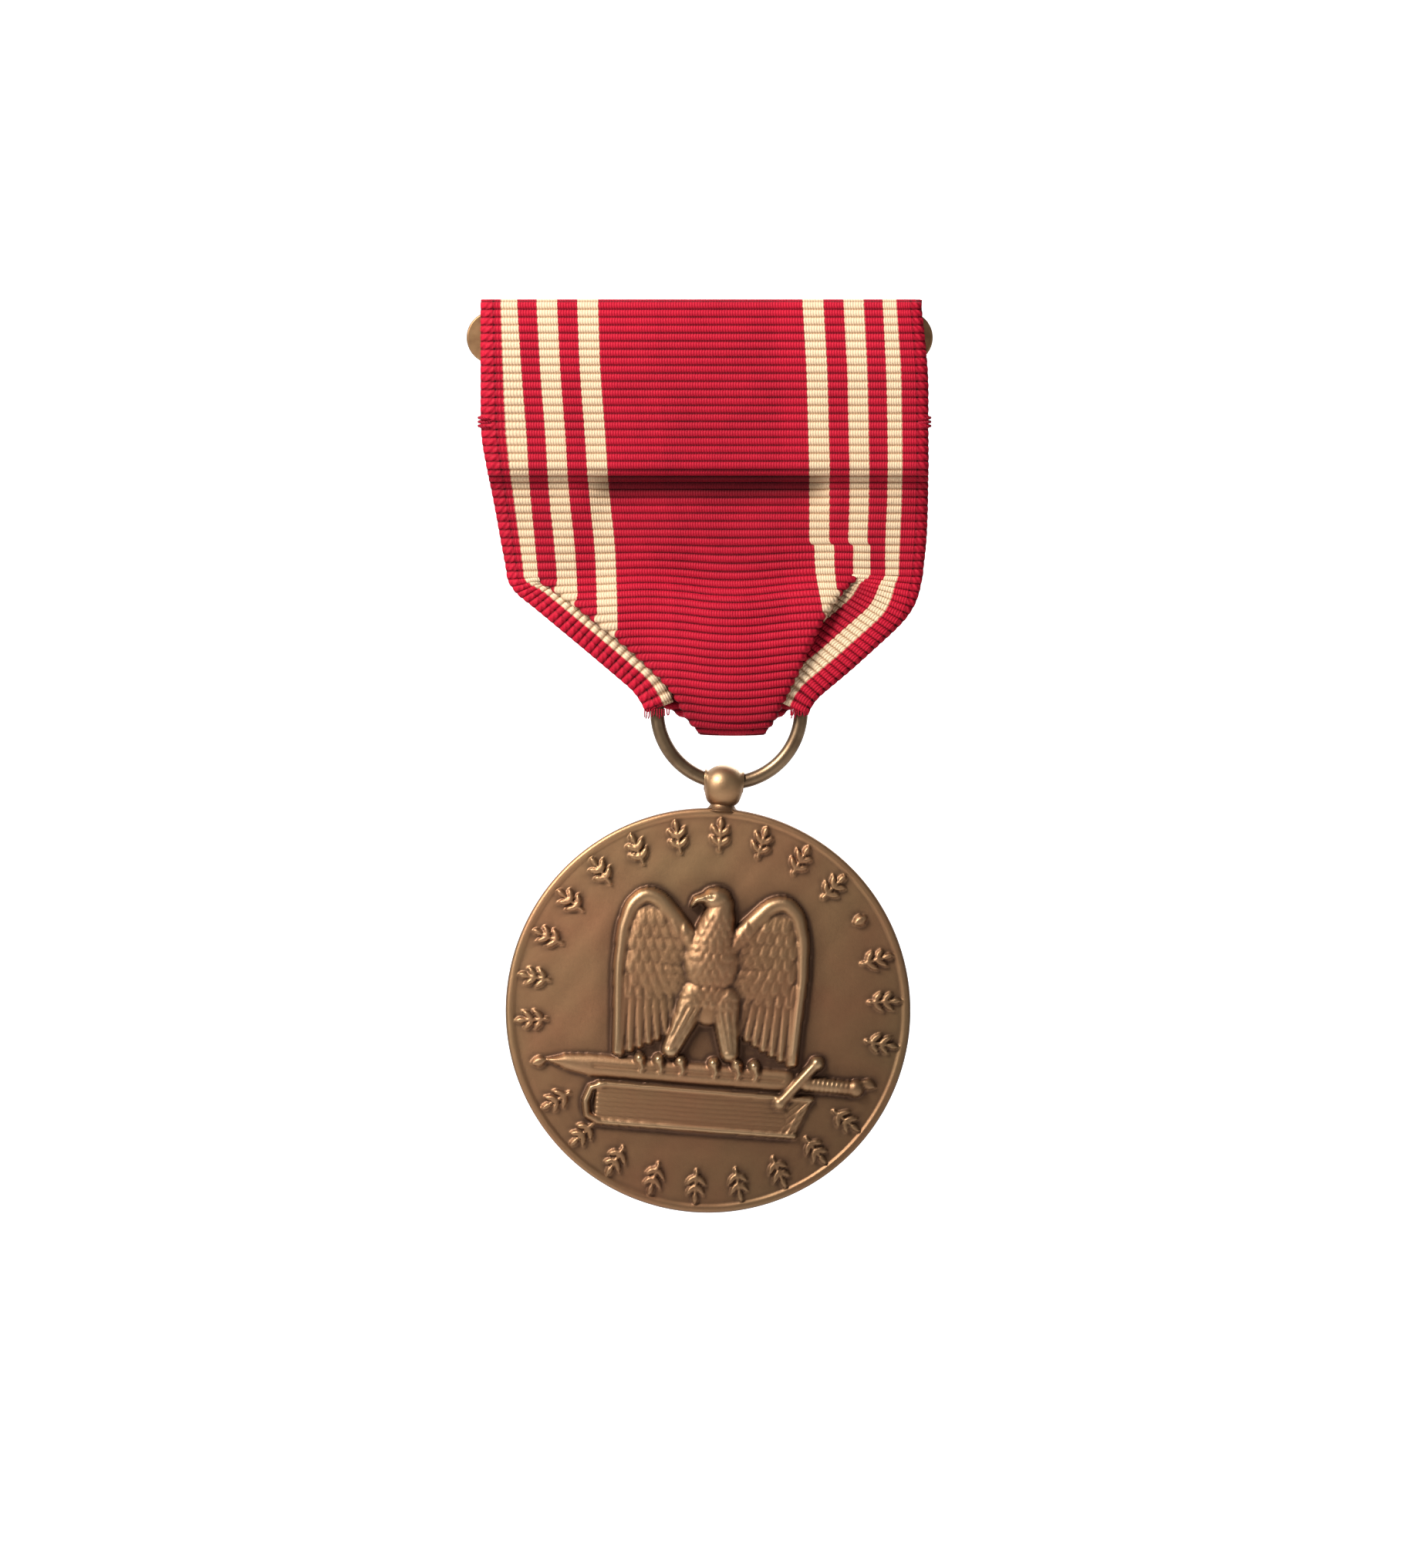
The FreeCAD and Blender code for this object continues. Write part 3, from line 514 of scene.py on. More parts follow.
class Relief:
    """Height of one struck face in millimetres, over points x, z counted from the disc's centre."""

    def __init__(self, x, z):
        self.x = x
        self.z = z
        self.height = np.full(x.shape, -0.12)
        self.detail = np.zeros(x.shape)

    def near(self, x, z, reach):
        return np.nonzero((np.abs(self.x - x) < reach) & (np.abs(self.z - z) < reach))

    def lift(self, where, value, mask):
        self.height[where] = np.where(mask, np.maximum(self.height[where], value), self.height[where])

    def dome(self, x, z, half_x, half_z, top, power=0.5):
        where = self.near(x, z, max(half_x, half_z))
        q = ((self.x[where] - x) / half_x) ** 2 + ((self.z[where] - z) / half_z) ** 2
        self.lift(where, top * np.clip(1 - q, 0, 1) ** power, q < 1)

    def beside(self, start, end, reach):
        """Cells near a line, their share of the way along it, and their distance from it."""
        ax, az = start
        run = end[0] - ax
        rise = end[1] - az
        length = math.hypot(run, rise)
        where = self.near(ax + run / 2, az + rise / 2, length / 2 + reach)
        px = self.x[where] - ax
        pz = self.z[where] - az
        share = np.clip((px * run + pz * rise) / length**2, 0, 1)
        return where, share, np.hypot(px - share * run, pz - share * rise)

    def bar(self, start, end, radius_a, radius_b, top, power=0.5):
        """Rounded ridge from one point to another."""
        where, share, away = self.beside(start, end, max(radius_a, radius_b))
        q = away / (radius_a + (radius_b - radius_a) * share)
        self.lift(where, top * np.clip(1 - q * q, 0, 1) ** power, q < 1)

    def chain(self, points, radii, top, power=0.5):
        for index in range(len(points) - 1):
            self.bar(points[index], points[index + 1], radii[index], radii[index + 1], top, power)

    def leaf(self, x, z, heading, length, width, top):
        """Pointed leaf with a sunk midrib, standing on the field."""
        where = self.near(x, z, length + width)
        along, aside = self.local(where, x, z, heading)
        t = along / length
        half = width / 2 * np.sin(math.pi * np.clip(t, 0, 1)) ** 0.8 + 1e-6
        q = np.abs(aside) / half
        inside = (t > 0) & (t < 1) & (q < 1)
        value = top * np.clip(1 - q * q, 0, 1) ** 0.6 - 0.35 * top * np.exp(-((aside / 0.06) ** 2))
        self.lift(where, np.where(inside, value, 0), inside)

    def plume(self, x, z, heading, length, width, lift):
        """Overlapping feather laid on whatever stands there, raised towards its tip."""
        where = self.near(x, z, length + width)
        along, aside = self.local(where, x, z, heading)
        t = along / length
        blunt = np.sqrt(np.clip(1 - (np.clip(t - 0.45, 0, 1) / 0.55) ** 2, 0, 1))
        half = width / 2 * blunt + 1e-6
        q = np.abs(aside) / half
        inside = (t > 0) & (t < 1) & (q < 1)
        shaft = np.exp(-((aside / 0.07) ** 2))
        value = lift * (0.25 + 0.75 * t) * (1 - 0.55 * q * q) - 0.25 * lift * shaft
        found = np.where(inside, value, 0)
        self.detail[where] = np.maximum(self.detail[where], found)

    def local(self, where, x, z, heading):
        """Distances along and across a heading, in degrees from +X towards +Z."""
        c = math.cos(math.radians(heading))
        s = math.sin(math.radians(heading))
        px = self.x[where] - x
        pz = self.z[where] - z
        return px * c + pz * s, pz * c - px * s

    def carve(self, start, end, radius, depth):
        """Sunk line."""
        where, _, away = self.beside(start, end, 3 * radius)
        self.height[where] -= depth * np.exp(-((away / radius) ** 2))

    def settle(self):
        """Lays the feather detail on the forms below it."""
        self.height = self.height + self.detail * smoothstep(0.0, 0.15, self.height)


def wing(relief, side):
    """Raised wing: a smooth rim, rows of coverts, and long quills."""
    arm = [(1.6, 5.2), (3.0, 6.9), (4.4, 8.5), (5.5, 8.8), (6.5, 7.9), (7.05, 6.0), (7.2, 3.0), (6.95, -3.7)]
    line, places = path_points(arm, 0.35, 0.5)
    radii = np.interp(places / places[-1], [0, 0.25, 0.5, 1.0], [0.85, 0.66, 0.52, 0.28])
    relief.chain([(side * a, z) for a, z in line], list(radii), 0.56)
    web = [(2.4, 4.6), (4.3, 6.7), (5.5, 6.7), (5.7, 3.2), (4.4, 2.6), (2.8, 2.4)]
    web = [(side * a, z) for a, z in web]
    relief.chain(web, [1.5, 1.5, 1.4, 1.6, 1.8, 1.4], 0.38, 0.35)
    relief.bar((side * 3.2, 4.6), (side * 5.0, 4.8), 1.9, 1.9, 0.38, 0.35)
    for quill in range(8):
        a = 2.75 + quill * 0.56
        length = 3.6 + quill * 0.34
        sweep = 13 * (1 - quill / 7)
        heading = math.radians(-90 - side * sweep)
        root = (side * a, 2.3)
        tip = (root[0] + length * math.cos(heading), root[1] + length * math.sin(heading))
        relief.bar(root, tip, 0.42, 0.37, 0.20 + 0.02 * quill, 0.3)
        relief.plume(*root, math.degrees(heading), length + 0.25, 0.62, 0.16)
    for row in range(7):
        z = 7.6 - row * 0.86
        for column in range(8):
            a = 1.9 + column * 0.64 + (row % 2) * 0.32
            crest = np.interp(a, [1.6, 3.0, 4.4, 5.5, 6.5], [4.9, 6.7, 8.2, 8.3, 7.2])
            if z < crest and a < 6.6:
                sweep = 48 * (1 - (a - 1.9) / 4.8)
                relief.plume(side * a, z, -90 - side * sweep, 1.25 + 0.1 * row, 0.74, 0.20)


def leg(relief, hip, ankle, toes):
    relief.bar(hip, ankle, 1.3, 0.72, 0.74)
    heading = math.degrees(math.atan2(ankle[1] - hip[1], ankle[0] - hip[0]))
    for row in range(5):
        share = row / 5
        for across in (-1, 0, 1):
            x = hip[0] + (ankle[0] - hip[0]) * share + across * 0.5 * (1 - share * 0.4)
            z = hip[1] + (ankle[1] - hip[1]) * share
            relief.plume(x, z, heading + across * 5, 1.7, 0.56, 0.17)
    for across in (-0.5, 0.0, 0.5):
        top = (hip[0] + across * 1.1, hip[1] - 0.9)
        relief.carve(top, (ankle[0] + across * 0.7, ankle[1] + 0.1), 0.10, 0.13)
    for x in toes:
        relief.dome(x, -4.1, 0.46, 0.5, 0.72)
        relief.chain([(x + 0.1, -4.3), (x + 0.28, -4.75), (x + 0.12, -5.2)], [0.26, 0.2, 0.08], 0.58)


def bird(relief):
    """Spread-winged bird, looking to the left."""
    for side in (-1, 1):
        wing(relief, side)
    relief.dome(0.0, 3.9, 2.3, 3.2, 0.92)
    relief.dome(0.0, 1.2, 1.85, 2.4, 0.74)
    relief.bar((0.45, 8.2), (0.0, 5.0), 1.05, 1.95, 0.90)
    for row in range(12):
        z = 8.1 - row * 0.62
        half = np.interp(z, [-0.6, 1.0, 3.0, 5.0, 7.0, 8.0], [0.8, 1.4, 1.9, 1.8, 1.25, 1.0])
        count = int(half / 0.3)
        for column in range(-count, count + 1):
            x = 0.25 * (z > 6) + (column + 0.5 * (row % 2)) * 0.56
            relief.plume(x, z, -90 + x * 9, 1.05, 0.60, 0.19)
    leg(relief, (-1.0, 1.2), (-2.7, -3.2), (-5.1, -3.6, -1.9))
    leg(relief, (1.25, 0.9), (1.9, -3.2), (0.7, 2.5, 3.9))
    relief.settle()
    relief.dome(0.05, 8.75, 1.2, 0.95, 1.02)
    relief.chain([(-0.7, 8.8), (-1.5, 8.6), (-1.85, 8.1)], [0.46, 0.30, 0.10], 0.86)
    relief.carve((-1.5, 8.3), (-0.6, 8.4), 0.07, 0.14)
    relief.dome(-0.5, 8.98, 0.2, 0.17, 1.12)
    relief.carve((-0.9, 9.22), (-0.15, 9.32), 0.09, 0.12)
    relief.carve((-0.74, 8.8), (-0.26, 8.78), 0.08, 0.14)


def sword_and_book(relief):
    """Closed book lying on its side, with a plain sword along its top."""
    x = relief.x
    z = relief.z
    right = np.interp(z, [-9.4, -6.2], [7.4, 8.7])
    block = smoothstep(-8.5, -8.2, x) * (1 - smoothstep(-0.15, 0.15, x - right))
    block = block * smoothstep(-9.45, -9.2, z) * (1 - smoothstep(-6.3, -6.05, z))
    end = smoothstep(6.3, 6.6, x + (z + 9.4) * -0.1)
    pages = np.sin((z * (1 - end) + (z - 0.9 * x) * end * 0.75) * 2 * math.pi / 0.36)
    relief.height = np.maximum(relief.height, block * (0.20 + 0.035 * pages) - 0.12 * (1 - block))
    relief.chain([(-8.1, -6.25), (8.5, -6.45)], [0.24, 0.2], 0.36)
    relief.chain([(-8.1, -9.25), (7.4, -9.35)], [0.26, 0.24], 0.38)
    spine = [(-7.7, -6.3), (-8.7, -6.6), (-9.1, -7.7), (-8.9, -8.8), (-8.0, -9.2)]
    relief.chain(spine, [0.22, 0.26, 0.28, 0.28, 0.26], 0.42)
    relief.chain([(6.9, -9.2), (7.7, -7.4), (8.6, -6.4)], [0.14, 0.12, 0.16], 0.30)
    blade = [(-12.2, -4.7), (-10.8, -4.75), (-8.8, -4.9), (6.4, -5.1)]
    relief.chain(blade, [0.12, 0.62, 0.88, 0.86], 0.34, 0.8)
    relief.carve((-8.6, -4.9), (6.2, -5.08), 0.13, 0.09)
    relief.chain([(6.2, -6.75), (8.7, -3.65)], [0.46, 0.46], 0.6)
    for tip in ((6.1, -6.85), (8.8, -3.55)):
        relief.dome(*tip, 0.58, 0.58, 0.66)
    relief.bar((8.1, -5.2), (11.4, -5.3), 0.6, 0.56, 0.5)
    for turn in range(9):
        a = 8.35 + turn * 0.37
        relief.carve((a, -5.85), (a + 0.22, -4.65), 0.07, 0.11)
    relief.dome(11.95, -5.3, 0.66, 0.7, 0.6)


def border(relief):
    """Ring of small sprigs, parted by three pellets."""
    slots = 26
    pellets = (4, 8, 18)
    for index in range(slots):
        angle = 90 - index * 360 / slots
        c = math.cos(math.radians(angle))
        s = math.sin(math.radians(angle))
        if index in pellets:
            relief.dome(13.85 * c, 13.85 * s, 0.45, 0.45, 0.24, 0.8)
            relief.leaf(13.2 * c, 13.2 * s, angle, 1.3, 0.7, 0.3)
            continue
        relief.bar((12.6 * c, 12.6 * s), (14.5 * c, 14.5 * s), 0.13, 0.10, 0.2)
        for radius, spread in ((12.95, 46), (13.65, 40)):
            for side in (-1, 1):
                relief.leaf(radius * c, radius * s, angle + side * spread, 1.12, 0.46, 0.23)
        relief.leaf(14.2 * c, 14.2 * s, angle, 1.0, 0.46, 0.23)


def star_and_branches(relief):
    """Faceted star over a blank scroll, between two leafy branches."""
    x = relief.x
    z = relief.z - 2.6
    angle = np.mod(np.arctan2(x, z), 2 * math.pi / 5)
    fold = np.abs(angle - math.pi / 5)
    tip = 6.6
    inner = tip * 0.4
    turn = math.pi / 5
    across = inner * math.sin(turn) / (tip - inner * math.cos(turn))
    edge = tip * across / (np.sin(turn - fold) + across * np.cos(turn - fold))
    share = np.hypot(x, z) / edge
    relief.lift(np.nonzero(x < 99), np.clip(0.10 + 0.75 * (1 - share), 0, 1).ravel(), (share < 1).ravel())
    relief.chain([(-5.8, -7.0), (-3.0, -6.6), (3.0, -6.6), (5.8, -7.0)], [0.95, 1.0, 1.0, 0.95], 0.36, 0.25)
    for side in (-1, 1):
        relief.chain([(side * 5.9, -6.2), (side * 7.2, -7.4)], [0.5, 0.45], 0.26)
        relief.carve((side * 5.6, -6.1), (side * 5.6, -7.9), 0.09, 0.14)
        for index in range(13):
            bend = 270 + side * (10 + index * 11)
            c = math.cos(math.radians(bend))
            s = math.sin(math.radians(bend))
            for radius, spread in ((12.1, 62), (11.5, 118)):
                relief.leaf(radius * c, radius * s, bend + side * spread, 2.2, 0.95, 0.36)
            relief.dome(11.0 * c, 11.0 * s, 0.26, 0.26, 0.3)
        stem = [270 + side * step for step in range(4, 160, 12)]
        points = [(11.8 * math.cos(math.radians(b)), 11.8 * math.sin(math.radians(b))) for b in stem]
        relief.chain(points, [0.16] * len(points), 0.24)


def front_design(relief):
    sword_and_book(relief)
    bird(relief)
    border(relief)


def blurred(values, reach):
    """Running mean over a square of grid cells."""
    size = 2 * reach + 1
    padded = np.pad(values, reach, mode="edge")
    for axis in (0, 1):
        sums = np.cumsum(padded, axis=axis)
        start = np.take(sums, [0], axis=axis) * 0
        sums = np.concatenate([start, sums], axis=axis)
        count = sums.shape[axis]
        padded = (np.take(sums, range(size, count), axis) - np.take(sums, range(count - size), axis)) / size
    return padded


def struck_face(bm, layer, cells, design, front, settings):
    """Adds one face of the disc as a dense sheet whose height follows the design."""
    sign = -1.0 if front else 1.0
    half = -sign * settings.thickness / MM / 2

    def place(c, r):
        a = 2 * c - 1
        b = 2 * r - 1
        x = a * np.sqrt(1 - b * b / 2)
        z = b * np.sqrt(1 - a * a / 2)
        column = np.rint(c * cells).astype(int)
        row = np.rint(r * cells).astype(int)
        disc_x = np.zeros((cells + 1, cells + 1))
        disc_z = np.zeros((cells + 1, cells + 1))
        disc_x[row, column] = x * DISC_RADIUS
        disc_z[row, column] = z * DISC_RADIUS
        relief = Relief(disc_x if front else -disc_x, disc_z)
        design(relief)
        height = blurred(relief.height, 1) * 0.35 + relief.height * 0.65
        reach = np.hypot(disc_x, disc_z)
        dents = 0.012 * np.sin(disc_x * 0.9 + 1.3) * np.sin(disc_z * 1.1)
        dents = dents + 0.008 * np.sin(disc_x * 2.3 - disc_z * 1.7)
        crown = DISC_CROWN * (1 - (reach / DISC_RADIUS) ** 2)
        height = height * settings.relief + dents * (height < 0) + crown
        lip = smoothstep(DISC_RADIUS - LIP_WIDTH, DISC_RADIUS - 0.45, reach) * 0.15
        fall = np.clip((reach - (DISC_RADIUS - RIM_ROUND)) / RIM_ROUND, 0, 1)
        height = height + lip - 0.30 * (1 - np.sqrt(1 - fall * fall * 0.999))
        level = height - crown
        sharp = level - blurred(level, 4)
        broad = level - blurred(level, 14)
        rubbed = 1 - 0.65 * smoothstep(11.6, 12.4, reach)
        wear = np.clip(sharp * 2.2 + broad * 0.6, 0, 1) * rubbed
        recess = np.clip(-sharp * 6.0 - broad * 1.6, 0, 1)
        points = np.stack(
            [
                RING_CENTRE.x + disc_x[row, column],
                RING_CENTRE.y - half + sign * height[row, column],
                RING_CENTRE.z - DISC_DROP + disc_z[row, column],
            ],
            axis=1,
        )
        values = [Vector((w, d, 0)) for w, d in zip(wear[row, column], recess[row, column])]
        return points, values

    grid_patch(bm, cells, cells, place, layer)


def build_disc(settings, material):
    """Closed disc: two struck faces joined round the rim."""
    bm = bmesh.new()
    layer = bm.verts.layers.float_vector.new("relief")
    struck_face(bm, layer, FRONT_CELLS, front_design, True, settings)
    struck_face(bm, layer, BACK_CELLS, star_and_branches, False, settings)
    rims = [edge for edge in bm.edges if edge.is_boundary]
    bmesh.ops.bridge_loops(bm, edges=rims)
    bmesh.ops.recalc_face_normals(bm, faces=bm.faces)
    bmesh.ops.transform(bm, matrix=lean_matrix(), verts=bm.verts)
    return finished_piece("struck_disc", bm, material)


# ---------------------------------------------------------------- ball and ring


def turned_shape(bm, profile, centre, axis, steps, closed):
    """Spins a chain of points right round an axis."""
    verts = [bm.verts.new(point) for point in profile]
    pairs = list(zip(verts, verts[1:]))
    if closed:
        pairs.append((verts[-1], verts[0]))
    edges = [bm.edges.new(pair) for pair in pairs]
    bmesh.ops.spin(
        bm,
        geom=verts + edges,
        cent=centre,
        axis=axis,
        angle=2 * math.pi,
        steps=steps,
        use_merge=True,
        use_duplicate=False,
    )


def build_ball(material):
    """Ball drilled along the ring, with flats round the hole and a brazed foot."""
    ball_low, ball_high = box_mm("suspension_ball")
    radius = (ball_high.y - ball_low.y) / 2
    ball_z = RING_CENTRE.z - DISC_DROP + DISC_RADIUS + radius
    bore_z = RING_CENTRE.z - BORE_DROP
    offset = ball_z - bore_z
    bore = WIRE_RADIUS + 0.19
    flat_share = 0.90
    flat_x = radius * flat_share
    bm = bmesh.new()
    start = math.asin(math.sqrt(1 - flat_share**2))
    profile = []
    for step in range(25):
        bend = start + (math.pi - 2 * start) * step / 24
        profile.append((radius * math.cos(bend), 0, radius * math.sin(bend)))
    wall = [(-flat_x, bore + 0.07), (-flat_x + 0.07, bore), (flat_x - 0.07, bore), (flat_x, bore + 0.07)]
    profile += [(x, 0, r) for x, r in wall]
    centre = Vector((RING_CENTRE.x, RING_CENTRE.y, bore_z))
    profile = [centre + Vector(point) for point in profile]
    turned_shape(bm, profile, centre, (1, 0, 0), 64, True)
    for vert in bm.verts:
        away = math.hypot(vert.co.y - centre.y, vert.co.z - centre.z)
        share = smoothstep(bore + 0.05, radius * 0.72, away)
        vert.co.z += offset * float(share)
    rim_z = RING_CENTRE.z - DISC_DROP + DISC_RADIUS
    foot = []
    for step in range(9):
        share = step / 8
        foot.append((1.45 - 0.55 * math.sin(share * math.pi / 2), 0, rim_z - 0.22 + 0.75 * share**1.3))
    foot = [Vector((RING_CENTRE.x + r, RING_CENTRE.y, z)) for r, _, z in foot]
    turned_shape(bm, foot, Vector((RING_CENTRE.x, RING_CENTRE.y, rim_z)), (0, 0, 1), 48, False)
    bmesh.ops.holes_fill(bm, edges=[edge for edge in bm.edges if edge.is_boundary])
    layer = bm.verts.layers.float_vector.new("relief")
    # The ball is made lighter towards its top and darker towards its foot, by height alone.
    for vert in bm.verts:
        high = float(smoothstep(-0.5, 1.4, vert.co.z - ball_z))
        low = float(smoothstep(0.9, 1.8, ball_z - vert.co.z))
        vert[layer] = Vector((0.22 + 0.5 * high, 0.7 * low, 0))
    bmesh.ops.recalc_face_normals(bm, faces=bm.faces)
    bmesh.ops.transform(bm, matrix=lean_matrix(), verts=bm.verts)
    return finished_piece("drilled_ball", bm, material)


def build_ring(material):
    """Bent wire ring with a closed butt joint, which sits inside the ribbon."""
    bm = bmesh.new()
    gap = 0.02
    start = math.radians(72)
    spoke = Vector((math.cos(start), 0, math.sin(start)))
    facing = Matrix((spoke, Vector((0, 1, 0)), spoke.cross(Vector((0, 1, 0))))).transposed().to_4x4()
    place = Matrix.Translation(RING_CENTRE + spoke * RING_RADIUS) @ facing
    made = bmesh.ops.create_circle(bm, cap_ends=True, segments=28, radius=WIRE_RADIUS, matrix=place)["verts"]
    faces = list({face for vert in made for face in vert.link_faces})
    edges = list({edge for vert in made for edge in vert.link_edges})
    bmesh.ops.spin(
        bm,
        geom=list(made) + edges + faces,
        cent=RING_CENTRE,
        axis=(0, 1, 0),
        angle=2 * math.pi - gap,
        steps=144,
        use_duplicate=False,
    )
    bmesh.ops.recalc_face_normals(bm, faces=bm.faces)
    return finished_piece("wire_ring", bm, material)


# ---------------------------------------------------------------- ribbon

ROW = 0.126
LEFT_SPLIT = 2.74
RIGHT_SPLIT = 28.3
SPLIT_Z = -17.2
CENTRE_Y = RING_CENTRE.y
LOOP_RADIUS = 1.1
TONGUE_LOW = TIP_LOW.z + 0.1
LOOP_Z = TONGUE_LOW + LOOP_RADIUS
FOLD_RADIUS = 0.2
FLAP = 1.6
LEFT_FOLD = (
    (-16.5, -15.2), (-13.0, -17.1), (-12.1, -17.55), (-11.1, -18.35), (-9.6, -19.45),
    (-6.1, -22.4), (-2.3, -26.0), (-1.5, -27.3), (-0.9, -28.3),
)
RIGHT_FOLD = (
    (15.0, -15.6), (12.6, -17.2), (12.0, -17.6), (10.9, -18.8), (9.4, -21.2),
    (7.5, -25.1), (6.7, -26.6), (5.8, -28.3),
)
LEFT_EDGE = (
    (-15.0, -17.2), (-14.8, -17.9), (-14.3, -18.5), (-13.6, -19.1), (-8.9, -23.0),
    (-5.0, -26.3), (-4.2, -27.8),
)
LEFT_HIDDEN = (
    (-12.66, -17.2), (-12.4, -17.4), (-12.1, -17.5), (-11.6, -17.7), (-7.1, -20.9),
    (-3.0, -24.5), (-1.9, -27.4),
)
RIGHT_EDGE = (
    (17.45, -17.2), (17.2, -18.8), (16.45, -20.2), (15.4, -21.3), (12.0, -24.4),
    (8.9, -27.0), (8.5, -28.0),
)
RIGHT_HIDDEN = (
    (12.0, -17.2), (11.4, -17.5), (10.9, -17.8), (10.4, -18.2), (7.6, -21.0),
    (6.0, -24.2), (5.4, -27.4),
)
DRIFT_U = (0.0, 2.74, 9.0, 17.0, 25.1, 28.3, 31.4, 34.9)
DRIFTS = (
    (5.0, (0.0, 0.05, 0.1, 0.1, 0.1, 0.1, 0.08, -0.5)),
    (-1.3, (0.0, 0.45, 0.3, 0.35, 0.47, 0.45, 0.4, 0.15)),
    (-6.2, (0.0, 0.85, 0.7, 0.6, 0.6, 0.55, 0.5, 0.15)),
    (-11.0, (0.95, 1.13, 1.0, 0.8, 0.71, 0.65, 0.5, 0.15)),
    (-14.6, (1.6, 1.5, 1.45, 1.1, 0.66, 0.52, 0.3, 0.05)),
    (-17.2, (2.15, 1.75, 1.55, 1.3, 0.74, 0.45, 0.35, -0.3)),
    (-20.5, (2.2, 1.9, 1.65, 1.5, 1.4, 0.8, 0.4, -0.3)),
    (-30.0, (2.2, 1.9, 1.65, 1.5, 1.5, 0.8, 0.4, -0.3)),
)


def drift(across, z):
    """How far the cloth has been pulled to the right at a height."""
    heights = [row[0] for row in reversed(DRIFTS)]
    total = np.zeros(np.broadcast(across, z).shape)
    for knot, place in enumerate(DRIFT_U):
        pulls = [row[1][knot] for row in reversed(DRIFTS)]
        pulled = sum(np.interp(z + shift, heights, pulls) for shift in (-1.2, -0.6, 0.0, 0.6, 1.2)) / 5
        before = DRIFT_U[max(knot - 1, 0)]
        after = DRIFT_U[min(knot + 1, len(DRIFT_U) - 1)]
        ends = [knot == 0, 1.0, knot == len(DRIFT_U) - 1]
        share = np.interp(across, [before - 1e-6, place, after + 1e-6], ends)
        total = total + pulled * share
    return total


def laid_x(across, z):
    """Sideways place of the cloth where it lies flat, with the kink above the right pleat."""
    kink = smoothstep(23.0, 25.0, across) * (1 - smoothstep(29.0, 31.0, across)) * smoothstep(-14.3, -15.0, z)
    return RIBBON_LEFT + across + drift(across, z) + 0.42 * kink


def path_points(corners, step, softness):
    """Evenly spaced points along a bent line whose corners are softened; also their distances."""
    corners = np.array(corners, float)
    lengths = np.concatenate([[0], np.cumsum(np.hypot(*np.diff(corners, axis=0).T))])
    fine = np.arange(0, lengths[-1], 0.05)
    line = np.stack([np.interp(fine, lengths, corners[:, axis]) for axis in (0, 1)], axis=1)
    reach = max(1, int(softness / 0.05))
    padded = np.concatenate([np.repeat(line[:1], reach, 0), line, np.repeat(line[-1:], reach, 0)])
    sums = np.cumsum(np.concatenate([padded[:1] * 0, padded]), axis=0)
    soft = (sums[2 * reach + 1 :] - sums[: -2 * reach - 1]) / (2 * reach + 1)
    soft[0] = line[0]
    soft[-1] = corners[-1]
    lengths = np.concatenate([[0], np.cumsum(np.hypot(*np.diff(soft, axis=0).T))])
    count = int(round(lengths[-1] / step))
    places = np.linspace(0, lengths[-1], count + 1)
    return np.stack([np.interp(places, lengths, soft[:, axis]) for axis in (0, 1)], axis=1), places


def fold_line(corners, z):
    """Sideways place of a fold at a height, and the cosine of its lean there."""
    heights = [corner[1] for corner in reversed(corners)]
    places = [corner[0] for corner in reversed(corners)]
    x = sum(np.interp(z + shift, heights, places) for shift in (-0.5, 0.5, 0.0)) / 3
    slope = (np.interp(z + 0.4, heights, places) - np.interp(z - 0.4, heights, places)) / 0.8
    return x, 1 / np.sqrt(1 + slope * slope)


def turned_under(outward):
    """Pulls cloth beyond a fold back under; gives its distance inside the fold and its depth behind."""
    quarter = math.pi * FOLD_RADIUS / 2
    bend = np.clip(outward / FOLD_RADIUS, -math.pi / 2, math.pi / 2)
    inside = FOLD_RADIUS * (1 - np.cos(bend))
    inside = inside + np.maximum(np.abs(outward) - quarter, 0)
    return inside, FOLD_RADIUS * (1 + np.sin(bend))


def sag(x, z):
    """How the cords lift and sink where the cloth is gathered."""
    gathered = smoothstep(-12.5, -19.0, z)
    places = [-15, -9, -3, 2.5, 9, 14]
    lifts = [-0.18, -0.05, 0.28, -0.45, 0.3, 0.1]
    wave = sum(np.interp(x + shift, places, lifts) for shift in np.linspace(-2.4, 2.4, 9)) / 9
    return gathered * wave


def sway(x, z):
    """Slow hollows and swellings of the hanging cloth, in depth."""
    middle = smoothstep(-9.5, -7.0, x) * (1 - smoothstep(8.5, 11.0, x))
    hollow = 0.5 * middle * smoothstep(-8.7, -9.8, z) * (1 - smoothstep(-10.6, -14.0, z))
    slow = 0.10 * np.sin(x * 0.33 + z * 0.21) * np.sin(z * 0.30 + 0.6) + 0.05 * np.sin(x * 0.8 - z * 0.5)
    return slow * smoothstep(-6.0, -13.0, z) + hollow


def ribbed(points, along, settings):
    """Raises the cords of the weave from smooth cloth; points are rows by columns by 3."""
    down = np.gradient(points, axis=0)
    aside = np.gradient(points, axis=1)
    normal = np.cross(down, aside)
    normal /= np.maximum(np.linalg.norm(normal, axis=2, keepdims=True), 1e-9)
    turn = 2 * math.pi * MM / settings.rib_pitch
    height = settings.rib_height / MM * np.cos(along * turn)
    return points + normal * height[..., None]


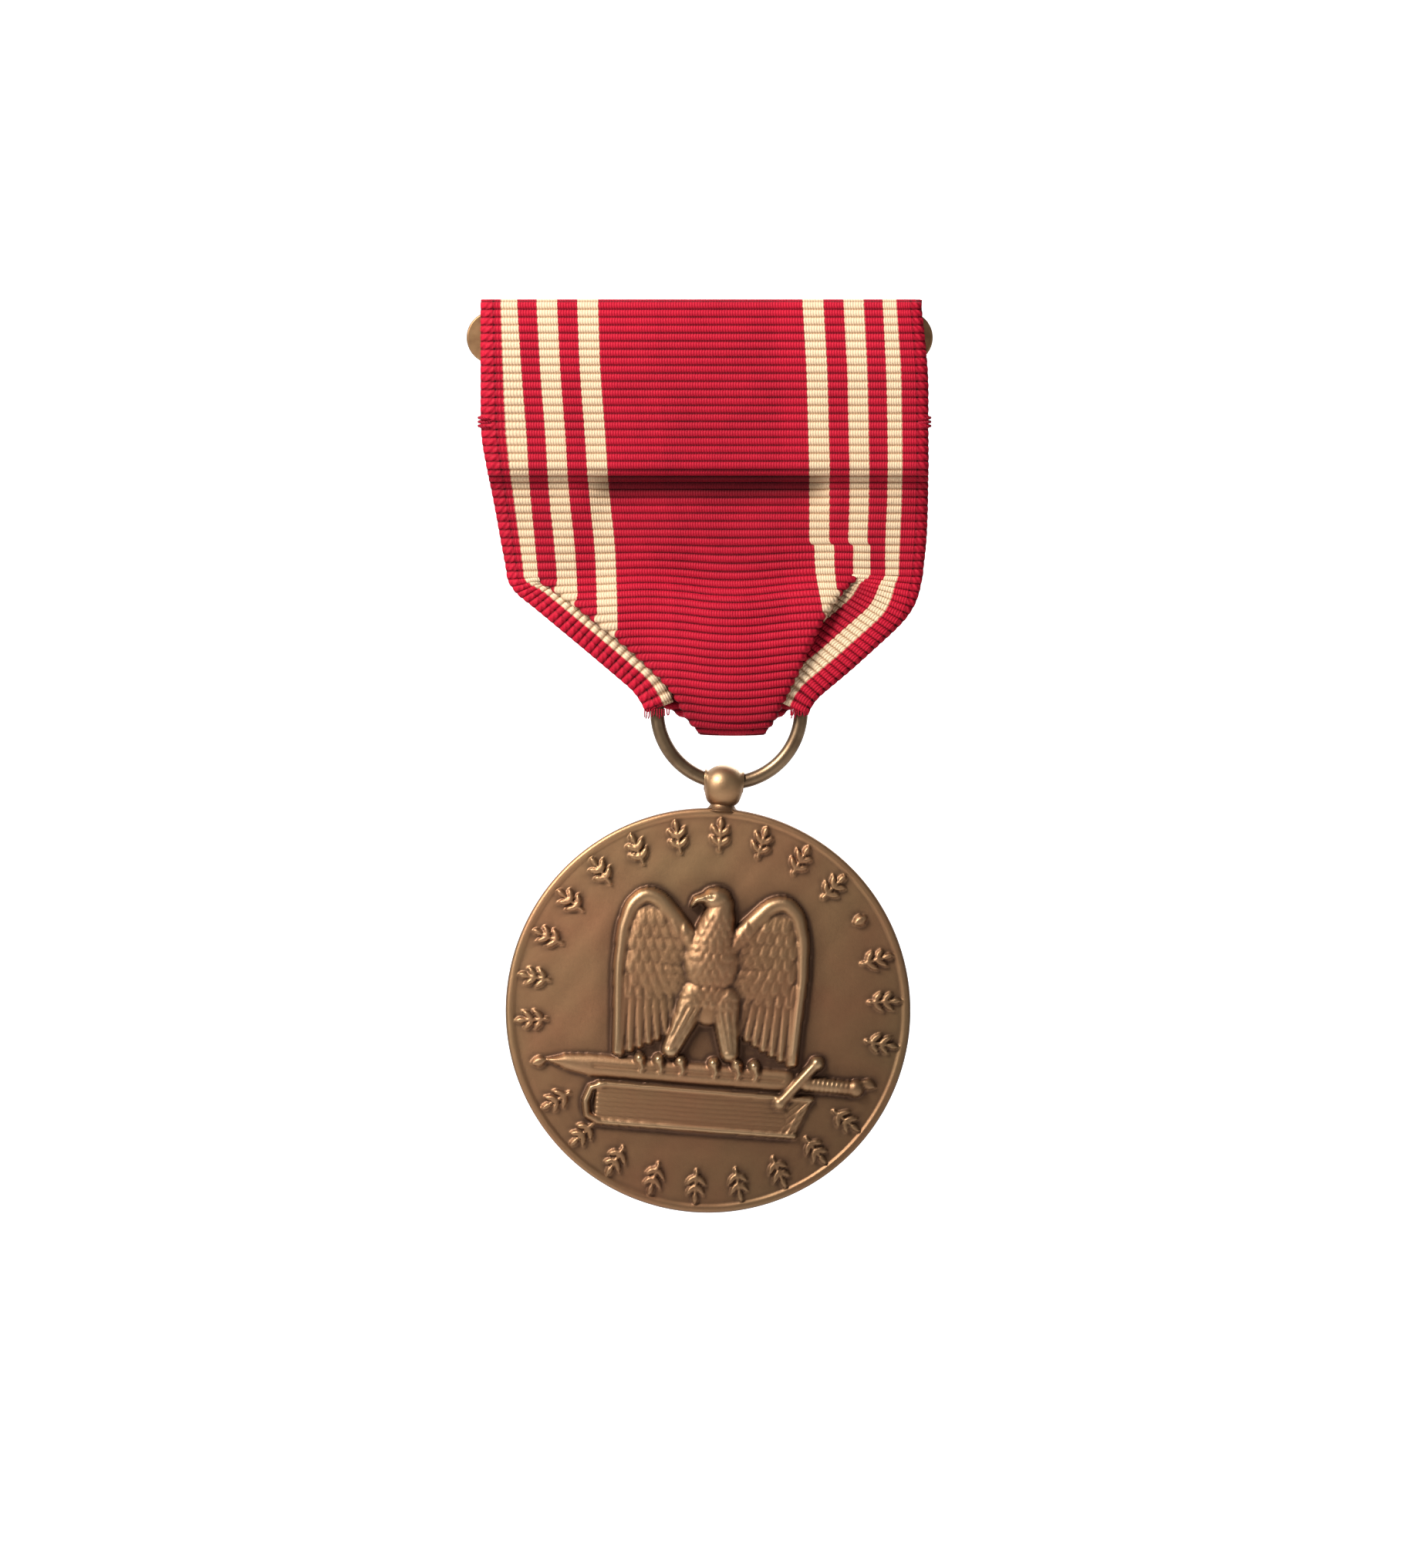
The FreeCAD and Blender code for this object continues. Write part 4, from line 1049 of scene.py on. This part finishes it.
def painted_crease_shade(x, z):
    """Share of painted shade: a painted shadow below the bar's step, strongest between the inner stripes, and
    a slow painted darkening down the front, strongest about 12.5 mm down.
    """
    middle = smoothstep(-9.0, -6.8, x) * (1 - smoothstep(8.6, 10.6, x))
    # Painted shadow under the step of the bar.
    painted_step_shadow = smoothstep(-8.8, -9.3, z) * (1 - smoothstep(-9.9, -12.6, z))
    depths = [-1.5, 2.0, 7.0, 12.5, 15.5, 18.0, 22.0]
    # Painted shade: the front grows slowly darker down to about 12.5 mm and lighter again below.
    painted_falloff = np.interp(-z, depths, [0.0, 0.10, 0.17, 0.26, 0.18, 0.05, 0.0])
    return np.maximum(painted_step_shadow * (0.45 + 0.55 * middle), painted_falloff)


def add_cloth(bm, layer, points, along, across, painted_shade):
    """Adds a patch of cloth from its points, rows by columns."""
    rows, columns = along.shape

    def place(c, r):
        row = np.rint(r * (rows - 1)).astype(int)
        column = np.rint(c * (columns - 1)).astype(int)
        found = zip(across[row, column], along[row, column], painted_shade[row, column])
        return points[row, column], [Vector(values) for values in found]

    grid_patch(bm, columns - 1, rows - 1, place, layer)


def centre_columns(inner_left, inner_right, squeezed_left, squeezed_right):
    """Sideways places of the centre panel's columns, close together at both folds."""
    tight = 8
    shares = np.linspace(0, 1, tight + 1)
    middle = np.linspace(0, 1, 41)[1:-1]
    left = inner_left[:, None] + (squeezed_left - inner_left)[:, None] * shares
    right = squeezed_right[:, None] + (inner_right - squeezed_right)[:, None] * shares
    between = squeezed_left[:, None] + (squeezed_right - squeezed_left)[:, None] * middle
    return np.concatenate([left, between, right], axis=1)


def across_at(x, z):
    """Which part of the ribbon's width lies at a place: laid_x turned round."""
    across = x - RIBBON_LEFT
    for _ in range(6):
        across = across - 0.8 * (laid_x(across, z) - x)
    return across


def upper_cloth(bm, layer, settings):
    """Tail, wrap over the bar and front down to where the folds begin."""
    path = [(-2.28, -3.3), (-2.28, -8.8), (-2.86, -8.8), (-2.86, 1.45), (-1.66, 1.7), (-1.66, 4.36)]
    path += [(-3.15, 4.36), (-3.45, 2.2), (-3.45, -6.0), (-3.85, -8.7)]
    path += [(-2.75, -9.9), (-2.55, -12.5), (-2.45, SPLIT_Z)]
    places, along = path_points(path, ROW, 0.3)
    front = np.nonzero((places[:, 0] < -2.7) & (places[:, 1] > 4.0))[0][0]
    along = along - along[front]
    y = places[:, 0]
    z = places[:, 1]
    left = np.full(len(z), LEFT_SPLIT)
    right = np.full(len(z), RIGHT_SPLIT)
    across = centre_columns(left, right, left + 0.64, right - 0.64)
    edge_left = np.repeat(np.linspace(0, LEFT_SPLIT, 6)[None, :-1], len(z), 0)
    edge_right = np.repeat(np.linspace(RIGHT_SPLIT, RIBBON_WIDTH, 13)[None, 1:], len(z), 0)
    across = np.concatenate([edge_left, across, edge_right], axis=1)
    depth = np.repeat(y[:, None], across.shape[1], 1)
    height = np.repeat(z[:, None], across.shape[1], 1)
    shown = (along > -0.4)[:, None]
    x = laid_x(across, np.where(shown, height, 0.0))
    inset = 0.3 + 0.75 * smoothstep(-5.0, -9.0, height)
    tucked = RIBBON_LEFT + inset + across * (1 - 2 * inset / RIBBON_WIDTH)
    x = np.where(shown, x, tucked)
    depth = depth + np.where(shown, sway(x, height), 0)
    from_edge = np.minimum(across, RIBBON_WIDTH - across)
    depth = depth + EDGE_SWELL * (1 - smoothstep(0.0, 0.9, from_edge)) * shown
    height = height + sag(x, height) * shown
    s = np.repeat(along[:, None], across.shape[1], 1)
    points = ribbed(np.stack([x, depth, height], axis=2), s, settings)
    # Painted shade under the bar's step and down the front, on the shown cloth only.
    add_cloth(bm, layer, points, s, across, painted_crease_shade(x, height) * shown)
    return along[-1]


def lower_cloth(bm, layer, settings, start):
    """Centre panel from the folds down, round through the ring, and up the back."""
    path = [(0, SPLIT_Z), (0, LOOP_Z)]
    rows_down, _ = path_points(path, ROW, 0.05)
    turns = np.linspace(0, math.pi, int(math.pi * LOOP_RADIUS / ROW) + 1)[1:]
    rows_up, _ = path_points([(0, LOOP_Z), (0, BACK_HIGH.z)], ROW, 0.05)
    rows_up = rows_up[1:]
    z = np.concatenate([rows_down[:, 1], LOOP_Z - LOOP_RADIUS * np.sin(turns), rows_up[:, 1]])
    drops = [17.2, 18.0, 19.6, 22.5, 28.3]
    front_bulge = np.interp(-rows_down[:, 1], drops, [2.45, 2.75, 3.5, 3.72, LOOP_RADIUS - CENTRE_Y])
    back_y = np.interp(-rows_up[:, 1], [2.2, 16.0, 19.5, 28.3], [-1.8, -1.8, -1.15, CENTRE_Y + LOOP_RADIUS])
    y = np.concatenate([-front_bulge, CENTRE_Y - LOOP_RADIUS * np.cos(turns), back_y])
    y = np.convolve(np.pad(y, 5, mode="edge"), np.ones(11) / 11, mode="valid")
    down = len(rows_down)
    over = down + len(turns)
    steps = np.arange(len(z))
    loop_share = np.clip((steps - down) / (over - down), 0, 1)
    back = steps >= over - 1
    fold_left, lean_left = fold_line(LEFT_FOLD, z)
    fold_right, lean_right = fold_line(RIGHT_FOLD, z)
    pinch = np.sin(math.pi * loop_share) ** 0.8 * 0.9
    fold_left = fold_left + pinch
    fold_right = fold_right - pinch * 0.8
    left_heights = [-28.3, -26.6, -23.0, -19.1, -17.9, -16.5, -14.0]
    side_left = np.interp(z, left_heights, [-0.9, -3.9, -8.2, -12.8, -14.0, -14.8, -20])
    right_heights = [-28.3, -27.0, -24.6, -20.9, -18.4, -17.0, -14.0]
    side_right = np.interp(z, right_heights, [5.8, 7.9, 10.9, 14.5, 16.4, 17.2, 22])
    fold_left = np.where(back, side_left, fold_left)
    fold_right = np.where(back, side_right, fold_right)
    lean_left = np.where(back, 0.75, lean_left)
    lean_right = np.where(back, 0.75, lean_right)
    inset = 0.18
    edge_left = np.where(back, laid_x(0.0, z) + inset, laid_x(LEFT_SPLIT, z))
    edge_right = np.where(back, laid_x(RIBBON_WIDTH, z) - inset, laid_x(RIGHT_SPLIT, z))
    start_left = np.maximum(edge_left, fold_left - FLAP)
    start_right = np.minimum(edge_right, fold_right + FLAP)
    near_left = np.maximum(start_left + 0.64, fold_left + 0.45)
    near_right = np.minimum(start_right - 0.64, fold_right - 0.45)
    x = centre_columns(start_left, start_right, near_left, near_right)
    height = np.repeat(z[:, None], x.shape[1], 1)
    across = across_at(x, height)
    out_left = (fold_left[:, None] - x) * lean_left[:, None]
    out_right = (x - fold_right[:, None]) * lean_right[:, None]
    inside_left, behind_left = turned_under(out_left)
    inside_right, behind_right = turned_under(out_right)
    from_left = fold_left[:, None] + inside_left / lean_left[:, None]
    from_right = fold_right[:, None] - inside_right / lean_right[:, None]
    folded = np.where(out_left > out_right, from_left, from_right)
    behind = np.maximum(behind_left, behind_right)
    facing = np.where(back, -1.0, np.cos(math.pi * loop_share))
    fold_share = 1 - np.sin(math.pi * loop_share) * 0.75
    flat = np.maximum(out_left, out_right) < -FOLD_RADIUS * math.pi / 2
    x_new = np.where(flat, x, folded)
    depth = y[:, None] + behind * (facing * fold_share)[:, None]
    depth = depth + sway(x_new, height) * (~back & (loop_share == 0))[:, None]
    swell_share = smoothstep(-17.5, -20.0, z) * (steps < down)
    swell = 0.35 * np.exp(-(((x_new - 2.2) / 3.4) ** 2)) * swell_share[:, None]
    depth = depth - swell * (1 - smoothstep(-25.5, -28.0, height))
    step_s = np.hypot(np.diff(z, prepend=z[0]), np.diff(y, prepend=y[0]))
    s = np.repeat((start + np.cumsum(step_s))[:, None], x.shape[1], 1)
    lifted = height + sag(x_new, height) * (~back)[:, None] * (1 - loop_share)[:, None]
    points = ribbed(np.stack([x_new, depth, lifted], axis=2), s, settings)
    from_fold = -np.maximum(out_left, out_right)
    # Painted shade along the folds, and painted shade towards the bottom where the cloth turns round the
    # ring.
    painted_shade = 0.35 * np.exp(-np.abs(from_fold) / 0.5) + 0.35 * smoothstep(-25.5, -28.5, height)
    painted_shade = np.maximum(painted_shade, painted_crease_shade(x, height)) * (~back)[:, None]
    add_cloth(bm, layer, points, s, across, painted_shade)


def side_strip(bm, layer, settings, start, edge, hidden_edge, side, width, rolled, columns):
    """Edge of the ribbon that follows a slanting line behind the centre panel, down to the ring."""
    line, places = path_points(edge, ROW, 0.9)
    lengths = np.concatenate([[0], np.cumsum(np.hypot(*np.diff(np.array(edge), axis=0).T))])
    knots = lengths * places[-1] / lengths[-1]
    inner = [np.interp(places, knots, [corner[axis] for corner in hidden_edge]) for axis in (0, 1)]
    inner = [np.convolve(np.pad(values, 8, mode="edge"), np.ones(17) / 17, mode="valid") for values in inner]
    reach = np.stack(inner, axis=1) - line
    wide = np.linalg.norm(reach, axis=1)
    shares = np.linspace(0, 1, columns)
    spread = smoothstep(0.0, 2.2 + 0.4 * width, places)
    shown = width * (1 - spread) + np.minimum(wide, width) * spread
    across = shown[:, None] * shares
    u = across if side > 0 else RIBBON_WIDTH - across
    top = laid_x(u, np.full(u.shape, SPLIT_Z))
    flat = (top - top[:, :1]) / (top[:, -1:] - top[:, :1])
    even = across / wide[:, None]
    share = flat * (1 - spread)[:, None] + even * spread[:, None]
    x = line[:, :1] + reach[:, :1] * share
    z = line[:, 1:] + reach[:, 1:] * share
    x = x + (top[:1] - x[:1]) * (1 - smoothstep(0.0, 0.8, places))[:, None]
    z = z + (SPLIT_Z - z[:1]) * (1 - smoothstep(0.0, 0.8, places))[:, None]
    depth = np.interp(places, [0, 1.5, 5, places[-1]], [-2.45, -2.5, -2.85, -2.92])[:, None]
    sunk = 0.4 * smoothstep(0.5, 1.0, shares)[None, :] * smoothstep(0.2, 2.0, places)[:, None]
    depth = depth + sunk + sway(x, z) * (1 - spread)[:, None]
    depth = depth + EDGE_SWELL * (1 - smoothstep(0.0, 0.9, across))
    z = z + sag(x, z) * (1 - spread)[:, None]
    s = start + places[:, None] + 0 * x
    points = np.stack([x, depth, z], axis=2)
    u = u + side * rolled * spread[:, None]
    # Painted shade towards the hidden edge, where the strip runs under the centre panel's fold.
    painted_shade = 0.7 * smoothstep(0.35, 0.9, share) * smoothstep(0.6, 3.0, places)[:, None] * (wide > 3.5)[:, None]
    if side < 0:
        points, s, u, painted_shade = points[:, ::-1], s[:, ::-1], u[:, ::-1], painted_shade[:, ::-1]
    points = ribbed(points, s, settings)
    add_cloth(bm, layer, points, s, u, painted_shade)


def build_ribbon(settings, material):
    """One length of corded ribbon: hem, wrap, front, folds, loop through the ring, and back."""
    bm = bmesh.new()
    layer = bm.verts.layers.float_vector.new("cloth")
    start = upper_cloth(bm, layer, settings)
    lower_cloth(bm, layer, settings, start)
    side_strip(bm, layer, settings, start, LEFT_EDGE, LEFT_HIDDEN, 1, LEFT_SPLIT, 0.05, 6)
    side_strip(bm, layer, settings, start, RIGHT_EDGE, RIGHT_HIDDEN, -1, RIBBON_WIDTH - RIGHT_SPLIT, 0.7, 13)
    bmesh.ops.remove_doubles(bm, verts=bm.verts, dist=0.04)
    area = sum(face.calc_area() for face in bm.faces) * MM * MM
    piece = finished_piece("corded_ribbon", bm, material)
    wall = piece.modifiers.new("Cloth thickness", "SOLIDIFY")
    wall.thickness = settings.thickness
    wall.offset = 0.0
    wall.use_even_offset = False
    return piece, area


# ---------------------------------------------------------------- thread


def thread_path(bm, points, radius):
    """Closed round thread along a few points."""
    centre = Vector(points[0])
    ahead = (Vector(points[1]) - centre).normalized()
    turn = Vector((0, 0, 1)).rotation_difference(ahead).to_matrix().to_4x4()
    place = Matrix.Translation(centre) @ turn
    ring = bmesh.ops.create_circle(bm, segments=7, radius=radius, matrix=place)["verts"]
    for index in range(1, len(points)):
        here = Vector(points[index])
        before = Vector(points[index - 1])
        after = Vector(points[min(index + 1, len(points) - 1)])
        old_way = (here - before).normalized()
        new_way = (after - before).normalized() if after != here else old_way
        edges = list({e for v in ring for e in v.link_edges if all(w in ring for w in e.verts)})
        grown = bmesh.ops.extrude_edge_only(bm, edges=edges)["geom"]
        ring = [item for item in grown if isinstance(item, bmesh.types.BMVert)]
        bmesh.ops.translate(bm, verts=ring, vec=here - before)
        spin = ahead.rotation_difference(new_way).to_matrix()
        bmesh.ops.rotate(bm, verts=ring, cent=here, matrix=spin)
        ahead = new_way
    edges = [edge for edge in bm.edges if edge.is_boundary]
    bmesh.ops.holes_fill(bm, edges=edges)


def build_stitches(material):
    """Short runs of thread under the bar, sunk into the cloth, and wraps at both edges."""
    bm = bmesh.new()
    front = STITCH_LOW.y + 0.30
    back = STITCH_HIGH.y - 0.22
    z = (STITCH_LOW.z + STITCH_HIGH.z) / 2 - 0.35
    random = np.random.default_rng(7)
    pitch = 1.6
    count = int((RIBBON_WIDTH - 4) / pitch)
    first = RIBBON_LEFT + RIBBON_WIDTH / 2 - (count - 1) * pitch / 2
    for index in range(count):
        for y, shift, sink in ((front, 0.0, 0.2), (back, pitch / 2, -0.2)):
            x = first + index * pitch + shift
            inside = x - RIBBON_LEFT - 0.6
            if any(start - 0.5 < inside < end + 0.5 for start, end in stripe_edges()):
                continue
            tilt = random.uniform(-0.08, 0.08)
            first_half = [(x - 0.5, y + sink, z - tilt), (x - 0.3, y, z - tilt)]
            second_half = [(x + 0.3, y, z + tilt), (x + 0.5, y + sink, z + tilt)]
            thread_path(bm, first_half + second_half, 0.085)
    for side in (-1, 1):
        edge = laid_x(np.array(0.0 if side < 0 else RIBBON_WIDTH), np.array(z)).item()
        for step in range(3):
            level = z + 0.32 * (step - 1)
            outline = [(edge - side * 0.8, front), (edge, front), (edge + side * 0.16, front + 0.3)]
            outline += [(edge + side * 0.16, back - 0.3), (edge, back), (edge - side * 0.8, back)]
            points = [(x, y, level + 0.06 * number) for number, (x, y) in enumerate(outline)]
            thread_path(bm, points, 0.12)
    bmesh.ops.recalc_face_normals(bm, faces=bm.faces)
    return finished_piece("sewing_stitches", bm, material)


def build_fray(material):
    """A few loose threads at the cut ends of the side strips, beside the ring."""
    bm = bmesh.new()
    random = np.random.default_rng(11)
    for x0, x1 in ((-4.4, -2.3), (7.1, 8.3)):
        for index in range(11):
            x = x0 + (x1 - x0) * (index + 0.5) / 11
            y = -2.95 + random.uniform(-0.06, 0.06)
            z = -27.85
            lean = random.uniform(-0.25, 0.25)
            drop = random.uniform(0.18, 0.5)
            points = [(x, y, z + 0.3), (x + lean * 0.2, y - 0.03, z - drop * 0.5)]
            points.append((x + lean * 0.6, y - 0.02, z - drop))
            thread_path(bm, points, 0.05)
    bmesh.ops.recalc_face_normals(bm, faces=bm.faces)
    return finished_piece("frayed_threads", bm, material)


# ---------------------------------------------------------------- operators


class OBJECT_OT_medal_ribbon(bpy.types.Operator):
    """Weave and fold the corded ribbon"""

    bl_idname = "object.medal_ribbon"
    bl_label = "Ribbon"

    def execute(self, context):
        settings = context.scene.medal_ribbon
        piece, area = build_ribbon(settings, ribbon_finish(settings))
        nodes = ("front", "tail", "back", "tip", "pleat_left", "pleat_right")
        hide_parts(*["ribbon_" + node for node in nodes])
        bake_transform(piece)
        return {"FINISHED"}


class OBJECT_OT_medal_threads(bpy.types.Operator):
    """Sew the ribbon under the bar and fray its cut ends"""

    bl_idname = "object.medal_threads"
    bl_label = "Stitches and loose threads"

    def execute(self, context):
        material = thread_finish(context.scene.medal_ribbon)
        stitches = build_stitches(material)
        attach(stitches, "brooch")
        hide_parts("ribbon_stitches")
        fray = build_fray(material)
        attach(fray, "ribbon_end")
        return {"FINISHED"}


class OBJECT_OT_medal_brooch(bpy.types.Operator):
    """Give the brooch bar, pin, hinge and catch their finishes"""

    bl_idname = "object.medal_brooch"
    bl_label = "Brooch and pin"

    def execute(self, context):
        settings = context.scene.medal_disc
        colour = tuple(settings.brass)
        bar = brass_finish("brooch_bronze", colour, 0.8, 0.42)
        paint("brooch_frame", bar)
        fittings = brass_finish("pin_brass", (0.56, 0.40, 0.20), 0.35, 0.30)
        for node in ("pin_hinge_block", "pin_hinge_rivet", "pin_stem", "catch_housing", "catch_lock"):
            paint(node, fittings)
        return {"FINISHED"}


class OBJECT_OT_medal_ring(bpy.types.Operator):
    """Bend the wire ring"""

    bl_idname = "object.medal_ring"
    bl_label = "Suspension ring"

    def execute(self, context):
        ring = build_ring(brass_finish("ring_wire", (0.25, 0.165, 0.095), 0.6, 0.30))
        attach(ring, "ring")
        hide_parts("suspension_ring")
        return {"FINISHED"}


class OBJECT_OT_medal_pendant(bpy.types.Operator):
    """Strike the disc and turn its ball"""

    bl_idname = "object.medal_pendant"
    bl_label = "Disc and ball"

    def execute(self, context):
        settings = context.scene.medal_disc
        bronze = bronze_finish(settings)
        disc = build_disc(settings, bronze)
        ball = build_ball(bronze)
        for piece, node in ((disc, "medal_disc"), (ball, "suspension_ball")):
            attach(piece, "medal")
            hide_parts(node)
        return {"FINISHED"}


def stage_plane(name, size, colour, glow):
    """Plain sheet of the studio, centred on the origin."""
    bm = bmesh.new()
    bmesh.ops.create_grid(bm, x_segments=1, y_segments=1, size=size / MM / 2)
    finish = Finish(name)
    finish.constants(Roughness=0.9, Specular_IOR_Level=0.1)
    finish.shader.inputs["Base Color"].default_value = rgba(colour)
    finish.shader.inputs["Emission Color"].default_value = (1.0, 1.0, 1.0, 1.0)
    finish.constants(Emission_Strength=glow)
    return finished_piece(name, bm, finish.material)


def area_light(name, place, target, size, power, colour=(1.0, 1.0, 1.0)):
    data = bpy.data.lights.new(name, "AREA")
    data.shape = "DISK"
    data.size = size
    data.energy = power
    data.color = colour
    light = bpy.data.objects.new(name, data)
    light.location = place
    light.rotation_euler = (Vector(target) - Vector(place)).to_track_quat("-Z", "Y").to_euler()
    bpy.context.scene.collection.objects.link(light)
    return light


class SCENE_OT_medal_stage(bpy.types.Operator):
    """Set up the pale studio, its lights and the camera"""

    bl_idname = "scene.medal_stage"
    bl_label = "Stage and camera"

    def execute(self, context):
        settings = context.scene.medal_stage
        scene = context.scene
        floor = stage_plane("studio_floor", 6.0, (0.86, 0.86, 0.86), 0.15)
        floor.location.z = DISC_LOW.z * MM - settings.floor_gap
        wall = stage_plane("studio_wall", 6.0, (0.9, 0.9, 0.9), 1.0)
        wall.rotation_euler.x = math.pi / 2
        wall.location.y = 1.6
        middle = (0.0, 0.0, -0.035)
        power = settings.key_power
        warm = (1.0, 0.985, 0.96)
        cool = (0.96, 0.98, 1.0)
        key = area_light("key_light", (-0.24, -0.26, 0.26), middle, 0.13, power, warm)
        window = area_light("window_light", (-0.45, -0.35, 0.15), middle, 0.4, power * 0.35)
        fill = area_light("fill_light", (0.42, -0.45, 0.02), middle, 0.6, power * 0.07, cool)
        back = area_light("back_light", (0.1, 0.5, 0.3), middle, 0.4, power * 0.5)
        world = bpy.data.worlds.new("studio")
        world.use_nodes = True
        sky = world.node_tree.nodes["Background"]
        sky.inputs["Color"].default_value = (1.0, 1.0, 1.0, 1.0)
        sky.inputs["Strength"].default_value = settings.surround
        scene.world = world
        scene.view_settings.view_transform = "Standard"
        lens = bpy.data.cameras.new("medal_camera")
        lens.sensor_fit = "HORIZONTAL"
        lens.sensor_width = SENSOR_WIDTH
        lens.lens = SENSOR_WIDTH * settings.camera_distance / FRAME_WIDTH
        lens.clip_start = 0.01
        lens.clip_end = 10.0
        camera = bpy.data.objects.new("medal_camera", lens)
        camera.location = (FRAME_CENTRE_X, -settings.camera_distance, FRAME_CENTRE_Z)
        camera.rotation_euler = (math.pi / 2, 0, 0)
        scene.collection.objects.link(camera)
        scene.camera = camera
        return {"FINISHED"}


BUILD_ORDER = (
    OBJECT_OT_medal_ribbon,
    OBJECT_OT_medal_threads,
    OBJECT_OT_medal_brooch,
    OBJECT_OT_medal_ring,
    OBJECT_OT_medal_pendant,
    SCENE_OT_medal_stage,
)


class VIEW3D_PT_medal(bpy.types.Panel):
    bl_label = "Service Medal"
    bl_idname = "VIEW3D_PT_medal"
    bl_space_type = "VIEW_3D"
    bl_region_type = "UI"
    bl_category = "Medal"

    def draw(self, context):
        for settings in (context.scene.medal_ribbon, context.scene.medal_disc, context.scene.medal_stage):
            box = self.layout.box()
            for name in settings.__annotations__:
                box.prop(settings, name)
        for operator in BUILD_ORDER:
            self.layout.operator(operator.bl_idname)


CLASSES = (RibbonSettings, MedalSettings, StageSettings, *BUILD_ORDER, VIEW3D_PT_medal)


def register():
    for made_class in CLASSES:
        bpy.utils.register_class(made_class)
    bpy.types.Scene.medal_ribbon = bpy.props.PointerProperty(type=RibbonSettings)
    bpy.types.Scene.medal_disc = bpy.props.PointerProperty(type=MedalSettings)
    bpy.types.Scene.medal_stage = bpy.props.PointerProperty(type=StageSettings)


def unregister():
    del bpy.types.Scene.medal_stage
    del bpy.types.Scene.medal_disc
    del bpy.types.Scene.medal_ribbon
    for made_class in reversed(CLASSES):
        bpy.utils.unregister_class(made_class)


def main():
    register()
    for operator in BUILD_ORDER:
        group, name = operator.bl_idname.split(".")
        getattr(getattr(bpy.ops, group), name)()


if __name__ == "__main__":
    main()
